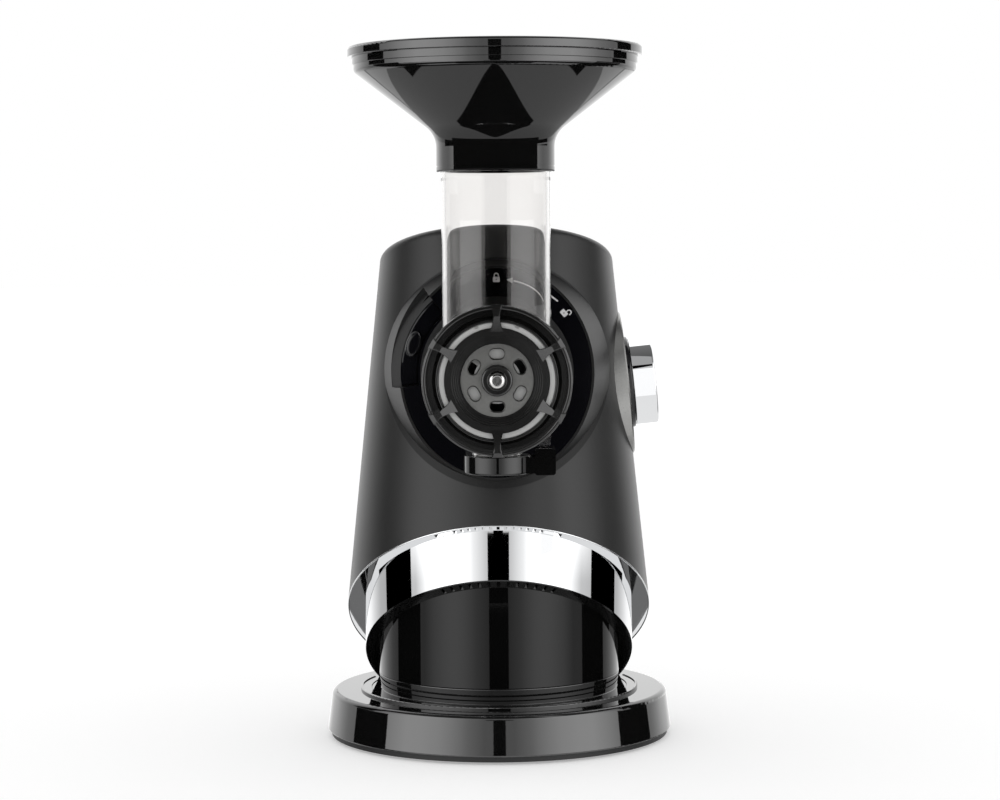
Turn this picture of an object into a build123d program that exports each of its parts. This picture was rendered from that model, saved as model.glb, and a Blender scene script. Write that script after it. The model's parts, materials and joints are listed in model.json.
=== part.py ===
from build123d import *
import math
import os

# Cold press juicer with a horizontal auger. Millimetres, +Z up, -Y to the front, +X to the right.
# The origin is the centre of the base on the surface that it stands on.

# ---------------------------------------------------------------- base
BASE_R = 103.5
BASE_DRAFT = 3.0
BASE_TOP_Z = 28.0
BASE_SKIRT_Z = 4.7
BASE_WALL = 3.0
BASE_EDGE_ROUND = 3.2
BASE_WIRE_HOLE_R = 24.0
BASE_PLATE_EDGE = 2.2
BASE_PLATE_Z = 1.5
BASE_PLATE_SPIGOT = 2.0
BASE_PLATE_WALL = 2.0
FOOT_R = 9.0
FOOT_COUNT = 4
FOOT_INSET = 21.5
FOOT_SEAT = 1.2
BOSS_R = 5.0
SCREW_R = 1.9
SCREW_HEAD_R = 3.6
SCREW_HEAD_H = 2.0
SCREW_LENGTH = 12.0
GLAND_Z = 15.0
GLAND_R = 7.0
GLAND_SINK = 2.9
GLAND_FLANGE_R = 9.0
GLAND_FLANGE = 3.0
GLAND_BORE_R = 3.6
GLAND_DEPTH = 12.0

# ---------------------------------------------------------------- column and nested skins
PLINTH_TAPER = 1.2
PLINTH_TOP_Z = 38.0
PLINTH_WALL = 6.0
PLINTH_FLOOR = 0.6
PLINTH_STEP_R = 77.0
PLINTH_STEP = 0.4
PLINTH_BEAD_R = 83.6
PLINTH_BEAD_W = 1.4
PLINTH_BEAD_H = 1.6
COLUMN_R = 72.4
COLUMN_WALL = 3.0
COLUMN_TOP_Z = 106.0
COLUMN_WIRE_HOLE_R = 14.0
BAND_R = 80.6
BAND_WALL = 1.2
BAND_CUT_Z = 49.7
SLANT = 33.2
BAND_TUCK = 7.0
UNDERPLATE = 2.0
VENT_SLOT_W = 1.7
VENT_SLOT_MARGIN = 0.9
BAND_VENTS = 13
BAND_VENT_PITCH = 4.15
SHELL_VENTS = 13
SHELL_VENT_PITCH = 2.9
SHELL_LONG_VENT = 7.5
SHELL_LONG_VENT_AT = 22.3
SHELL_R = 70.3
SHELL_R_Z = 286.0
SHELL_HALF_ANGLE = 5.78
SHELL_WALL = 2.6
SHELL_LIP = 0.7
SHELL_CUT_Z = 78.3
SHELL_TOP_Z = 289.3
SHELL_TOP_ANGLE = 16.0
SHELL_TOP_ROUND = 5.0
TOP_COVER = 1.4
TOP_COVER_INSET = 7.5
SEAM = 0.25
REAR_VENTS = 7
REAR_VENT_W = 34.0
REAR_VENT_H = 3.0
REAR_VENT_PITCH = 7.0
REAR_VENT_Z = 62.0

# ---------------------------------------------------------------- socket on the front
AXIS_Z = 222.0
FACE_REACH = 85.0
SOCKET_R = 66.4
SOCKET_PAD = 1.2
PANEL_HALF_W = 56.0
PANEL_HALF_H = 61.7
PANEL_T = 1.6
PANEL_RIM = 1.4
FAIRING_ANGLE = 14.0
FAIRING_WALL = 3.0
SLEEVE_R = 42.0
SLEEVE_BORE_R = 37.2
SLEEVE_FLANGE_R = 44.0
SLEEVE_FLANGE = 1.2
SLEEVE_GROOVE_R = 39.9
SLEEVE_FLOOR = 4.0
POCKET_IN_R = 45.2
POCKET_LAND_IN_R = 55.8
POCKET_LAND_OUT_R = 61.5
POCKET_START = 131.0
POCKET_END = 188.5
POCKET_LAND_DROP = 12.0
POCKET_LAND_OUT_DROP = 22.5
BUTTON_TRAVEL = 3.0
BUTTON_T = 4.0
BUTTON_TOP_DROP = 4.5
BUTTON_GAP = 0.6
SPRING_ROOM = 2.5
POCKET_FLOOR = BUTTON_TOP_DROP + BUTTON_T + BUTTON_TRAVEL + SPRING_ROOM
BUTTON_PAD_L = 15.6
BUTTON_PAD_H = 3.0
BUTTON_PAD_ANGLE = 160.6
BUTTON_STEM_R = 2.2
BUTTON_STEM_PROUD = 1.5
BUTTON_BEVEL = 0.8
BUTTON_STEM_ANGLES = (141.0, 179.0)
STEM_CLEARANCE = 0.3
SPRING_HALF_L = 7.0
SPRING_W = 5.0
SPRING_T = 0.5

# ---------------------------------------------------------------- drum, strainer, auger
BARREL_R = 33.0
BARREL_WALL = 3.5
BARREL_FRONT = 160.0
BARREL_REAR_WALL = 4.0
PLUG_R = 36.8
PLUG_WALL = 4.5
PLUG_REACH = 68.0
DRUM_FLANGE_R = 41.0
DRUM_FLANGE = 2.8
BODY_GAP = 0.3
LUG_COUNT = 3
LUG_SPAN = 20.0
LUG_SPAN_ROOM = 4.0
LUG_R = 39.5
LUG_REACH = 71.5
LUG_T = 5.0
TWIST = 45.0
FEED_REACH = 118.0
FEED_R = 30.75
FEED_WALL = 2.5
FEED_TOP_Z = 351.7
SPOUT_REACH = 130.0
SPOUT_R = 14.5
SPOUT_WALL = 2.5
SPOUT_LOW_Z = 179.0
STRAINER_WALL = 1.2
STRAINER_ROWS = 4
STRAINER_COLUMNS = 9
STRAINER_SLOT_W = 1.4
STRAINER_SLOT_L = 11.0
STRAINER_FEED_R = 25.0
AUGER_R = 27.3
AUGER_CORE_REAR_R = 11.0
AUGER_CORE_FRONT_R = 13.0
AUGER_LOBES = 3
AUGER_LOBE_R = 18.4
AUGER_LOBE_W = 9.0
AUGER_LOBE_T = 4.0
AUGER_TURNS = 2.4
AUGER_FLIGHT_ROOT = 7.0
AUGER_FLIGHT_TIP = 3.0
AUGER_END = 0.5
AUGER_FRONT = 160.5
PIN_R = 4.6
PIN_SEAT = 12.0
PIN_FRONT = 172.5
HEX_FLATS = 9.5
HEX_LENGTH = 13.0
HEX_CLEARANCE = 0.1

# ---------------------------------------------------------------- end cap
CAP_R = 41.0
CAP_RING_WALL = 2.2
CAP_RING_REAR = 153.0
CAP_RING_FRONT = 172.5
CAP_SKIRT_OVER = 0.6
CAP_SKIRT_WALL = 2.2
CAP_WEB_T = 2.4
CAP_FACE_FRONT = 171.0
CAP_HUB_R = 28.6
CAP_WINDOW_R = 31.9
CAP_WALL_R = 33.4
CAP_NOZZLE_R = 20.2
CAP_STEPS = (21.6, 22.7, 23.8, 24.9)
CAP_STEP_H = 1.1
CAP_STEP_BEVEL = 0.5
CAP_MOUTH = 3.0
CAP_LUG_R = 34.6
CAP_LUG_SPAN = 18.0
CAP_LUG_T = 3.0
CAP_LUG_BACK = 3.8
RIB_COUNT = 6
RIB_OUT_W = 6.8
RIB_WAIST_W = 3.6
RIB_WAIST_R = 33.0
RIB_IN_W = 8.4
RIB_IN_R = 26.0
RIB_PROUD = 1.4
RIB_BEVEL = 0.5
GASKET_T = 0.5
GASKET_SINK = 2.2
GASKET_NOTCH_W = 2.2
GASKET_NOTCH_D = 1.4
GASKET_NOTCH_AT = 21.0
NOZZLE_T = 2.0
NOZZLE_REACH = 163.0
NOZZLE_HOLE_CIRCLE_R = 14.4
NOZZLE_HOLE_L = 8.0
NOZZLE_HOLE_W = 5.2
NOZZLE_BEVEL = 0.7
BUSH_R = 8.6
BUSH_PROUD = 4.0
BUSH_TAIL = 1.0

# ---------------------------------------------------------------- spout flip cap
FLIP_R = 18.8
FLIP_H = 10.3
FLIP_HINGE_X = 26.4
FLIP_HINGE_Z = 175.3
FLIP_PIN_R = 1.6
PIN_FIT = 0.05
FLIP_KNUCKLE = 6.0
FLIP_BLIND = 2.5
FLIP_BLOCK_W = 11.6
FLIP_BLOCK_H = 14.6
FLIP_BLOCK_ROUND = 1.6
FLIP_ARM_REACH = 15.0
FLIP_ARM_INSET = 0.6
DRUM_LUG_T = 8.0
DRUM_LUG_W = 6.4
FLIP_SEAL_R = 13.5
FLIP_SEAL_T = 1.0
FLIP_SIDE_GAP = 0.5

# ---------------------------------------------------------------- hopper
HOPPER_LIP_R = 83.0
HOPPER_R = 79.6
HOPPER_STEP = 0.8
HOPPER_TOP_Z = 406.9
HOPPER_LIP_H = 5.8
HOPPER_STEP_H = 4.3
HOPPER_WALL = 2.3
HOPPER_CONE_ANGLE = 37.4
HOPPER_NECK_Z = 357.5
HOPPER_NECK_ROUND = 14.0
HOPPER_THROAT_ROUND = 4.0
HOPPER_SHOULDER_ROUND = 3.6
HOPPER_COLLAR_R = 33.4
HOPPER_COLLAR_LOW_Z = 336.6
HOPPER_GROOVE = 0.4
HOPPER_GROOVE_Z = 339.4

# ---------------------------------------------------------------- knob
KNOB_Z = 203.7
KNOB_R = 26.3
KNOB_LENGTH = 13.5
KNOB_WALL = 2.2
KNOB_ROUND = 1.0
KNOB_POINTER_W = 2.4
DIAL_R = 27.5
DIAL_T = 3.2
DIAL_SINK = 0.6
DIAL_GAP = 0.5
BEZEL_HALF_W = 33.5
BEZEL_HALF_H = 43.0
BEZEL_PROUD = 0.8
BEZEL_BEVEL = 0.8
SPINDLE_R = 3.0
SPINDLE_FIT = 0.1
SWITCH_R = 13.0
SWITCH_LENGTH = 20.0

# ---------------------------------------------------------------- drive train
GEARBOX_REAR = 19.0
GEARBOX_FRONT = 50.0
GEARBOX_WALL = 3.0
GEARBOX_TOP_R = 38.0
GEARBOX_MID_R = 29.5
GEARBOX_LOW_R = 12.0
PRESSURE_ANGLE = 25.0
ADDENDUM = 0.8
DEDENDUM = 1.1
BACKLASH = 0.16
OUTPUT_TEETH = 42
IDLER_PINION_TEETH = 12
OUTPUT_MODULE = 1.5
IDLER_TEETH = 48
MOTOR_TEETH = 12
MOTOR_MODULE = 1.0
OUTPUT_GEAR_W = 10.0
IDLER_WHEEL_W = 7.0
SHAFT_R = 6.0
IDLER_SHAFT_R = 3.0
RUNNING_FIT = 0.06
BEARING_R = 11.0
BEARING_W = 4.0
SEAL_R = 10.0
MOTOR_R = 29.0
MOTOR_LENGTH = 66.0
MOTOR_WALL = 2.5
MOTOR_SHAFT_R = 2.5
ARMATURE_R = 20.0
ARMATURE_LENGTH = 38.0
FAN_R = 24.0
FAN_BLADES = 7
FAN_HUB_R = 8.0
FAN_H = 9.0
FAN_DISC = 1.2
FAN_GAP = 1.5
BRUSH_ROOM = 6.0
CASE_SCREW_R = 1.2
CASE_SCREW_HEAD_R = 2.2
CASE_SCREW_HEAD_H = 2.0
CASE_SCREW_L = 9.0
CASE_LUG_R = 4.0
CASE_LUG_OUT = 2.0
CRADLE_W = 40.0
CRADLE_L = 34.0
BOARD_W = 78.0
BOARD_L = 52.0
BOARD_T = 1.6
BOARD_Z = 46.0
CAPACITOR_R = 7.0
CAPACITOR_H = 22.0
CHOKE_R = 8.0
CHOKE_H = 9.0
RELAY_L = 19.0
RELAY_W = 15.0
POST_R = 3.0

BASE_TOP_R = BASE_R - BASE_DRAFT
FOOT_CIRCLE_R = BASE_R - FOOT_INSET
GLAND_SEAT = BASE_R - GLAND_SINK
BARREL_BORE_R = BARREL_R - BARREL_WALL
DRUM_CAP_LUG = BARREL_FRONT - CAP_LUG_BACK - CAP_LUG_T
CAP_LUG_REACH = DRUM_CAP_LUG - BODY_GAP - CAP_LUG_T
CAP_WEB_BACK = BARREL_FRONT + GASKET_T + BODY_GAP
STRAINER_R = BARREL_BORE_R - BODY_GAP
DRUM_FLANGE_REACH = FACE_REACH + SLEEVE_FLANGE + BODY_GAP
OUTPUT_CENTRES = OUTPUT_MODULE * (OUTPUT_TEETH + IDLER_PINION_TEETH) / 2
MOTOR_CENTRES = MOTOR_MODULE * (IDLER_TEETH + MOTOR_TEETH) / 2
IDLER_DROP = OUTPUT_CENTRES
MOTOR_DROP = OUTPUT_CENTRES + MOTOR_CENTRES

# Frames. In DRIVE the local Z runs out of the front along the auger, local Y is up.
# In KNOB the local Z runs out of the right side, square to the sloping wall, local Y is up.
# In GLAND the local Z runs out of the back of the base.
DRIVE = Plane(origin=(0, 0, AXIS_Z), x_dir=(1, 0, 0), z_dir=(0, -1, 0))
GLAND = Plane(origin=(0, 0, GLAND_Z), x_dir=(1, 0, 0), z_dir=(0, 1, 0))
KNOB_TILT = math.radians(SHELL_HALF_ANGLE)
KNOB = Plane(
    origin=(0, 0, KNOB_Z), x_dir=(0, 1, 0), z_dir=(math.cos(KNOB_TILT), 0, math.sin(KNOB_TILT))
)


def turned(points, radii=None, span=360.0, start=0.0):
    """Solid of revolution about local Z from (radius, height) corners, each with its own rounding."""
    if radii is None:
        outline = Polyline(*points, close=True)
    else:
        outline = FilletPolyline(*points, radius=radii, close=True)
    section = Plane.XZ * make_face(outline)
    return Rot(0, 0, start) * revolve(section, Axis.Z, span)


def ring(outer, inner, low, high, span=360.0, start=0.0):
    return turned([(inner, low), (outer, low), (outer, high), (inner, high)], None, span, start)


def rod(radius, low, high):
    return Pos(0, 0, low) * Cylinder(
        radius, high - low, align=(Align.CENTER, Align.CENTER, Align.MIN)
    )


def around(count, radius=0.0, start=0.0):
    """Places spaced evenly round local Z."""
    return [Rot(0, 0, start + 360.0 * i / count) * Pos(radius, 0, 0) for i in range(count)]


def slant(height, angle):
    """Plane that crosses the vertical axis at height and falls towards the back."""
    tilt = math.radians(angle)
    return Plane(origin=(0, 0, height), x_dir=(1, 0, 0), z_dir=(0, math.sin(tilt), math.cos(tilt)))


def above(solid, plane):
    return split(solid, bisect_by=plane, keep=Keep.TOP)


def below(solid, plane):
    return split(solid, bisect_by=plane, keep=Keep.BOTTOM)


BAND_CUT = slant(BAND_CUT_Z, SLANT)
SHELL_CUT = slant(SHELL_CUT_Z, SLANT)
TOP_CUT = slant(SHELL_TOP_Z, SHELL_TOP_ANGLE)


def shell_radius(height):
    return SHELL_R + (SHELL_R_Z - height) * math.tan(math.radians(SHELL_HALF_ANGLE))


def cone(inset):
    """Full cone of the motor body, its wall moved inwards by inset, standing on the base."""
    high = SHELL_TOP_Z + 2 * SHELL_R * math.tan(math.radians(SHELL_TOP_ANGLE))
    return turned(
        [
            (0, BASE_TOP_Z),
            (shell_radius(BASE_TOP_Z) - inset, BASE_TOP_Z),
            (shell_radius(high) - inset, high),
            (0, high),
        ]
    )


# ---------------------------------------------------------------- base pieces
def base_inner_radius():
    return BASE_R - BASE_WALL


def base_shell():
    inner = base_inner_radius()
    body = turned(
        [
            (BASE_WIRE_HOLE_R, BASE_TOP_Z - BASE_WALL),
            (BASE_TOP_R - BASE_WALL, BASE_TOP_Z - BASE_WALL),
            (inner, BASE_SKIRT_Z),
            (BASE_R, BASE_SKIRT_Z),
            (BASE_TOP_R, BASE_TOP_Z),
            (BASE_WIRE_HOLE_R, BASE_TOP_Z),
        ],
        [0, 1.0, 0, 0.8, BASE_EDGE_ROUND, 0],
    )
    plate_top = BASE_SKIRT_Z + BASE_PLATE_SPIGOT
    boss = rod(BOSS_R, plate_top, BASE_TOP_Z - BASE_WALL / 2)
    pilot = rod(SCREW_R, plate_top, BASE_TOP_Z - BASE_WALL - 1)
    for place in around(FOOT_COUNT, FOOT_CIRCLE_R):
        body = body + place * boss - place * pilot
    post = rod(POST_R, BASE_TOP_Z - BASE_WALL / 2, BOARD_Z)
    for x in (-1, 1):
        for y in (-1, 1):
            spot = Pos(x * (BOARD_W / 2 - 2 * POST_R), y * (BOARD_L / 2 - 2 * POST_R), 0)
            body += spot * post
    hole = rod(GLAND_R, BASE_TOP_R - 2 * BASE_WALL, BASE_R + BASE_WALL)
    spot_face = rod(GLAND_FLANGE_R + SEAM, GLAND_SEAT, BASE_R + BASE_WALL)
    return body - GLAND * (hole + spot_face)


def base_plate():
    edge = BASE_R - BASE_PLATE_EDGE
    spigot = base_inner_radius() - 2 * SEAM
    body = turned(
        [
            (0, BASE_PLATE_Z),
            (edge, BASE_PLATE_Z),
            (edge, BASE_SKIRT_Z),
            (spigot, BASE_SKIRT_Z),
            (spigot, BASE_SKIRT_Z + BASE_PLATE_SPIGOT),
            (spigot - BASE_PLATE_WALL, BASE_SKIRT_Z + BASE_PLATE_SPIGOT),
            (spigot - BASE_PLATE_WALL, BASE_PLATE_Z + BASE_PLATE_WALL),
            (0, BASE_PLATE_Z + BASE_PLATE_WALL),
        ]
    )
    top = BASE_SKIRT_Z + BASE_PLATE_SPIGOT
    pillar = rod(BOSS_R, BASE_PLATE_Z + BASE_PLATE_WALL / 2, top)
    head_top = BASE_PLATE_Z + SCREW_HEAD_H
    hole = rod(SCREW_R + SEAM, BASE_PLATE_Z, top) + rod(SCREW_HEAD_R + SEAM, BASE_PLATE_Z, head_top)
    for place in around(FOOT_COUNT, FOOT_CIRCLE_R):
        body = body + place * pillar - place * hole
    for place in foot_places():
        body -= place * rod(FOOT_R, BASE_PLATE_Z, BASE_PLATE_Z + FOOT_SEAT)
    return body


def foot_places():
    return around(FOOT_COUNT, FOOT_CIRCLE_R, 180.0 / FOOT_COUNT)


def base_feet():
    foot = turned(
        [(0, 0), (FOOT_R, 0), (FOOT_R, BASE_PLATE_Z + FOOT_SEAT), (0, BASE_PLATE_Z + FOOT_SEAT)],
        [0, 0.6, 0, 0],
    )
    return Compound(children=[place * foot for place in foot_places()])


def base_screws():
    head = rod(SCREW_HEAD_R, BASE_PLATE_Z, BASE_PLATE_Z + SCREW_HEAD_H)
    shank = rod(SCREW_R, BASE_PLATE_Z + SCREW_HEAD_H, BASE_PLATE_Z + SCREW_HEAD_H + SCREW_LENGTH)
    screw = head + shank
    return Compound(children=[place * screw for place in around(FOOT_COUNT, FOOT_CIRCLE_R)])


def cord_gland():
    """Grommet in the rear wall of the base that the mains cord comes through."""
    return GLAND * turned(
        [
            (GLAND_BORE_R, GLAND_SEAT - GLAND_DEPTH),
            (GLAND_R, GLAND_SEAT - GLAND_DEPTH),
            (GLAND_R, GLAND_SEAT),
            (GLAND_FLANGE_R, GLAND_SEAT),
            (GLAND_FLANGE_R, GLAND_SEAT + GLAND_FLANGE),
            (GLAND_BORE_R, GLAND_SEAT + GLAND_FLANGE),
        ],
        [0, 0, 0, 0, 1.0, 0],
    )


# ---------------------------------------------------------------- column, band and motor body
def plinth():
    """Foot of the column: a thin flange with a raised bead, notched at the back for the band."""
    floor = BASE_TOP_Z + PLINTH_FLOOR
    body = turned(
        [
            (COLUMN_R - PLINTH_WALL, BASE_TOP_Z),
            (PLINTH_BEAD_R, BASE_TOP_Z),
            (PLINTH_BEAD_R, BASE_TOP_Z + PLINTH_BEAD_H),
            (PLINTH_BEAD_R - PLINTH_BEAD_W, BASE_TOP_Z + PLINTH_BEAD_H),
            (PLINTH_BEAD_R - PLINTH_BEAD_W, floor + PLINTH_STEP),
            (PLINTH_STEP_R, floor + PLINTH_STEP),
            (PLINTH_STEP_R, floor),
            (COLUMN_R - PLINTH_TAPER, floor),
            (COLUMN_R, PLINTH_TOP_Z),
            (COLUMN_R - PLINTH_WALL, PLINTH_TOP_Z),
        ],
        [0, 0, 0.6, 0.6, 0, 0.2, 0, 0.4, 0.5, 0],
    )
    notch = ring(PLINTH_BEAD_R + 1, BAND_R - BAND_WALL, BASE_TOP_Z, PLINTH_TOP_Z)
    return body - above(notch, BAND_CUT)


def column():
    return turned(
        [
            (COLUMN_R - COLUMN_WALL, PLINTH_TOP_Z),
            (COLUMN_R, PLINTH_TOP_Z),
            (COLUMN_R, COLUMN_TOP_Z),
            (COLUMN_WIRE_HOLE_R, COLUMN_TOP_Z),
            (COLUMN_WIRE_HOLE_R, COLUMN_TOP_Z - COLUMN_WALL),
            (COLUMN_R - COLUMN_WALL, COLUMN_TOP_Z - COLUMN_WALL),
        ],
        [0, 0.4, 0, 0, 0, 0],
    )


def lower_band():
    high = SHELL_CUT_Z + BAND_R * math.tan(math.radians(SLANT)) + BAND_TUCK
    body = ring(BAND_R, BAND_R - BAND_WALL, BASE_TOP_Z, high)
    return below(above(body, BAND_CUT), SHELL_CUT.offset(BAND_TUCK))


def front_slots(count, pitch, inner, outer):
    """Air slots through a slanted ring, spaced by pitch degrees either side of the front."""
    length = outer - inner - 2 * VENT_SLOT_MARGIN
    slot = Box(length, VENT_SLOT_W, SHELL_R_Z, align=(Align.CENTER, Align.CENTER, Align.MIN))
    turns = [270 + pitch * (i - (count - 1) / 2) for i in range(count)]
    slots = [Rot(0, 0, turn) * Pos((inner + outer) / 2, 0, 0) * slot for turn in turns]
    return Compound(children=slots)


def band_underplate():
    """Slanted ring that closes the gap between the column and the band."""
    outer = BAND_R - BAND_WALL
    body = ring(outer, COLUMN_R, BASE_TOP_Z + PLINTH_FLOOR + PLINTH_STEP, COLUMN_TOP_Z)
    body = below(above(body, BAND_CUT), BAND_CUT.offset(UNDERPLATE))
    return body - front_slots(BAND_VENTS, BAND_VENT_PITCH, COLUMN_R, outer)


def underplate_room():
    """Space in the bottom of the body shell that its chrome underplate fills."""
    return below(above(cone(SHELL_LIP), SHELL_CUT), SHELL_CUT.offset(UNDERPLATE))


def shell_underplate():
    """Slanted chrome ring that closes the gap between the band and the body shell."""
    outer = shell_radius(SHELL_CUT_Z + BAND_R * math.tan(math.radians(SLANT))) - SHELL_LIP
    body = underplate_room() - rod(BAND_R, BASE_TOP_Z, SHELL_R_Z)
    body -= front_slots(SHELL_VENTS, SHELL_VENT_PITCH, BAND_R, outer)
    for middle in (-SHELL_LONG_VENT_AT, SHELL_LONG_VENT_AT):
        body -= ring(
            outer - VENT_SLOT_MARGIN, BAND_R + VENT_SLOT_MARGIN, BASE_TOP_Z, SHELL_R_Z,
            SHELL_LONG_VENT, 270 + middle - SHELL_LONG_VENT / 2,
        )
    return body


def body_shell():
    body = below(above(cone(0), SHELL_CUT), TOP_CUT)
    rim = max(body.faces(), key=lambda face: (face.center() - TOP_CUT.origin).dot(TOP_CUT.z_dir))
    body = fillet(rim.edges(), SHELL_TOP_ROUND)
    body -= below(cone(SHELL_WALL), TOP_CUT.offset(-SHELL_WALL - TOP_COVER))
    body -= underplate_room()
    body -= above(cone(TOP_COVER_INSET), TOP_CUT.offset(-TOP_COVER))
    body -= DRIVE * rod(SLEEVE_FLANGE_R, 0, FACE_REACH)
    body -= KNOB * rod(SPINDLE_R + 2 * SPINDLE_FIT, 0, SHELL_R + BEZEL_HALF_W)
    return body - rear_vents()


def rear_vents():
    slot = Box(REAR_VENT_W, SHELL_R, REAR_VENT_H, align=(Align.CENTER, Align.MIN, Align.CENTER))
    slot = fillet(slot.edges().filter_by(Axis.Y), REAR_VENT_H / 2 - 0.05)
    heights = [REAR_VENT_Z + REAR_VENT_PITCH * i for i in range(REAR_VENTS)]
    return Compound(children=[Pos(0, SHELL_R / 2, height) * slot for height in heights])


def top_cover():
    body = above(cone(TOP_COVER_INSET + SEAM), TOP_CUT.offset(-TOP_COVER))
    return below(body, TOP_CUT)


# ---------------------------------------------------------------- socket
def taper(half_w, half_h, front, depth):
    """Elliptical boss along the drive axis that widens towards the body."""
    spread = depth * math.tan(math.radians(FAIRING_ANGLE))
    face = Plane(origin=(0, 0, front)) * Ellipse(half_w, half_h)
    root = Plane(origin=(0, 0, front - depth)) * Ellipse(half_w + spread, half_h + spread)
    return loft([root, face], ruled=True)


def pocket():
    """Crescent recess for the release button, open to the side over a sloping land."""
    over = FACE_REACH + 5
    return turned(
        [
            (POCKET_IN_R, FACE_REACH - POCKET_FLOOR),
            (POCKET_LAND_IN_R, FACE_REACH - POCKET_FLOOR),
            (POCKET_LAND_IN_R, FACE_REACH - POCKET_LAND_DROP),
            (POCKET_LAND_OUT_R, FACE_REACH - POCKET_LAND_OUT_DROP),
            (POCKET_LAND_OUT_R + 12, FACE_REACH - POCKET_LAND_OUT_DROP),
            (POCKET_LAND_OUT_R + 12, over),
            (POCKET_IN_R, over),
        ],
        None,
        POCKET_END - POCKET_START,
        POCKET_START,
    )


def stem_places():
    radius = (POCKET_IN_R + POCKET_LAND_IN_R) / 2
    return [Rot(0, 0, angle) * Pos(radius, 0, 0) for angle in BUTTON_STEM_ANGLES]


def socket_fairing():
    depth = FACE_REACH - SHELL_R / 3
    boss = taper(PANEL_HALF_W, PANEL_HALF_H, FACE_REACH, depth)
    boss = boss & rod(SOCKET_R, SHELL_R / 3, FACE_REACH)
    wall = FAIRING_WALL
    hollow = taper(PANEL_HALF_W - wall, PANEL_HALF_H - wall, FACE_REACH - wall - PANEL_T, depth)
    floor = FACE_REACH - POCKET_FLOOR - wall
    block = ring(SOCKET_R, SLEEVE_R, floor, FACE_REACH, POCKET_END - POCKET_START + 8, POCKET_START - 4)
    body = (boss - hollow) + (block & boss)
    pad = DRIVE * ring(SOCKET_R, SOCKET_R - 4 * wall, SHELL_R / 3, FACE_REACH + SHELL_R)
    pad = pad & cone(-SOCKET_PAD)
    body = DRIVE * body + pad
    recess = Pos(0, 0, FACE_REACH - PANEL_T) * extrude(
        Ellipse(PANEL_HALF_W - PANEL_RIM, PANEL_HALF_H - PANEL_RIM), PANEL_T + wall
    )
    holes = pocket() + recess + rod(SLEEVE_R, 0, FACE_REACH)
    for place in stem_places():
        holes += place * rod(BUTTON_STEM_R + STEM_CLEARANCE, 0, FACE_REACH)
    return body - DRIVE * holes - cone(0)


def socket_panel():
    blank = extrude(
        Ellipse(PANEL_HALF_W - PANEL_RIM - SEAM, PANEL_HALF_H - PANEL_RIM - SEAM), PANEL_T
    )
    body = Pos(0, 0, FACE_REACH - PANEL_T) * blank
    body -= rod(SLEEVE_R, 0, FACE_REACH)
    return DRIVE * (body - pocket())


def bayonet_sleeve():
    """Ring that the drum's lugs lock into, with entry slots at the unlocked angle."""
    back = GEARBOX_FRONT
    groove_front = LUG_REACH + LUG_T + BODY_GAP
    groove_back = LUG_REACH - BODY_GAP
    body = turned(
        [
            (SEAL_R, back),
            (SLEEVE_R, back),
            (SLEEVE_R, FACE_REACH),
            (SLEEVE_FLANGE_R, FACE_REACH),
            (SLEEVE_FLANGE_R, FACE_REACH + SLEEVE_FLANGE),
            (SLEEVE_BORE_R, FACE_REACH + SLEEVE_FLANGE),
            (SLEEVE_BORE_R, groove_front),
            (SLEEVE_GROOVE_R, groove_front),
            (SLEEVE_GROOVE_R, groove_back),
            (SLEEVE_BORE_R, groove_back),
            (SLEEVE_BORE_R, back + SLEEVE_FLOOR),
            (SEAL_R, back + SLEEVE_FLOOR),
        ]
    )
    front = FACE_REACH + SLEEVE_FLANGE
    span = LUG_SPAN + LUG_SPAN_ROOM
    entry = ring(SLEEVE_GROOVE_R, SLEEVE_BORE_R - 1, groove_back, front, span, -span / 2)
    for place in around(LUG_COUNT, 0, 90 - TWIST):
        body -= place * entry
    return DRIVE * body


def release_button():
    """Crescent plate with a raised oval thumb pad and two guide stems."""
    top = FACE_REACH - BUTTON_TOP_DROP
    low = top - BUTTON_T
    inner = POCKET_IN_R + BUTTON_GAP
    outer = POCKET_LAND_IN_R - BUTTON_GAP
    turn = math.degrees(BUTTON_GAP / inner)
    span = POCKET_END - POCKET_START - 2 * turn
    body = ring(outer, inner, low, top, span, POCKET_START + turn)
    body = chamfer(body.faces().sort_by(Axis.Z)[-1].edges(), BUTTON_BEVEL)
    middle = Rot(0, 0, BUTTON_PAD_ANGLE) * Pos((inner + outer) / 2, 0, 0)
    pad = Pos(0, 0, top - 1) * extrude(
        Ellipse((outer - inner) / 2 - SEAM, BUTTON_PAD_L / 2), BUTTON_PAD_H + 1
    )
    pad = fillet(pad.faces().sort_by(Axis.Z)[-1].edges(), BUTTON_PAD_H * 0.7)
    body += middle * pad
    foot = FACE_REACH - POCKET_FLOOR - FAIRING_WALL - BUTTON_STEM_PROUD
    stem = rod(BUTTON_STEM_R, foot, low + 1)
    for place in stem_places():
        body += place * stem
    return DRIVE * body


def button_spring():
    """Bowed leaf under the middle of the button."""
    half = SPRING_HALF_L
    low = FACE_REACH - POCKET_FLOOR + SPRING_T / 2 + RUNNING_FIT
    high = FACE_REACH - BUTTON_TOP_DROP - BUTTON_T - SPRING_T / 2 - RUNNING_FIT
    bow = ThreePointArc((-half, low), (0, high), (half, low))
    strip = Plane.XZ * offset(bow, SPRING_T / 2, kind=Kind.ARC)
    leaf = extrude(make_face(strip.edges()), SPRING_W / 2, both=True)
    middle = Rot(0, 0, BUTTON_PAD_ANGLE) * Pos((POCKET_IN_R + POCKET_LAND_IN_R) / 2, 0, 0)
    return DRIVE * (middle * Rot(0, 0, 90) * leaf)


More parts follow.
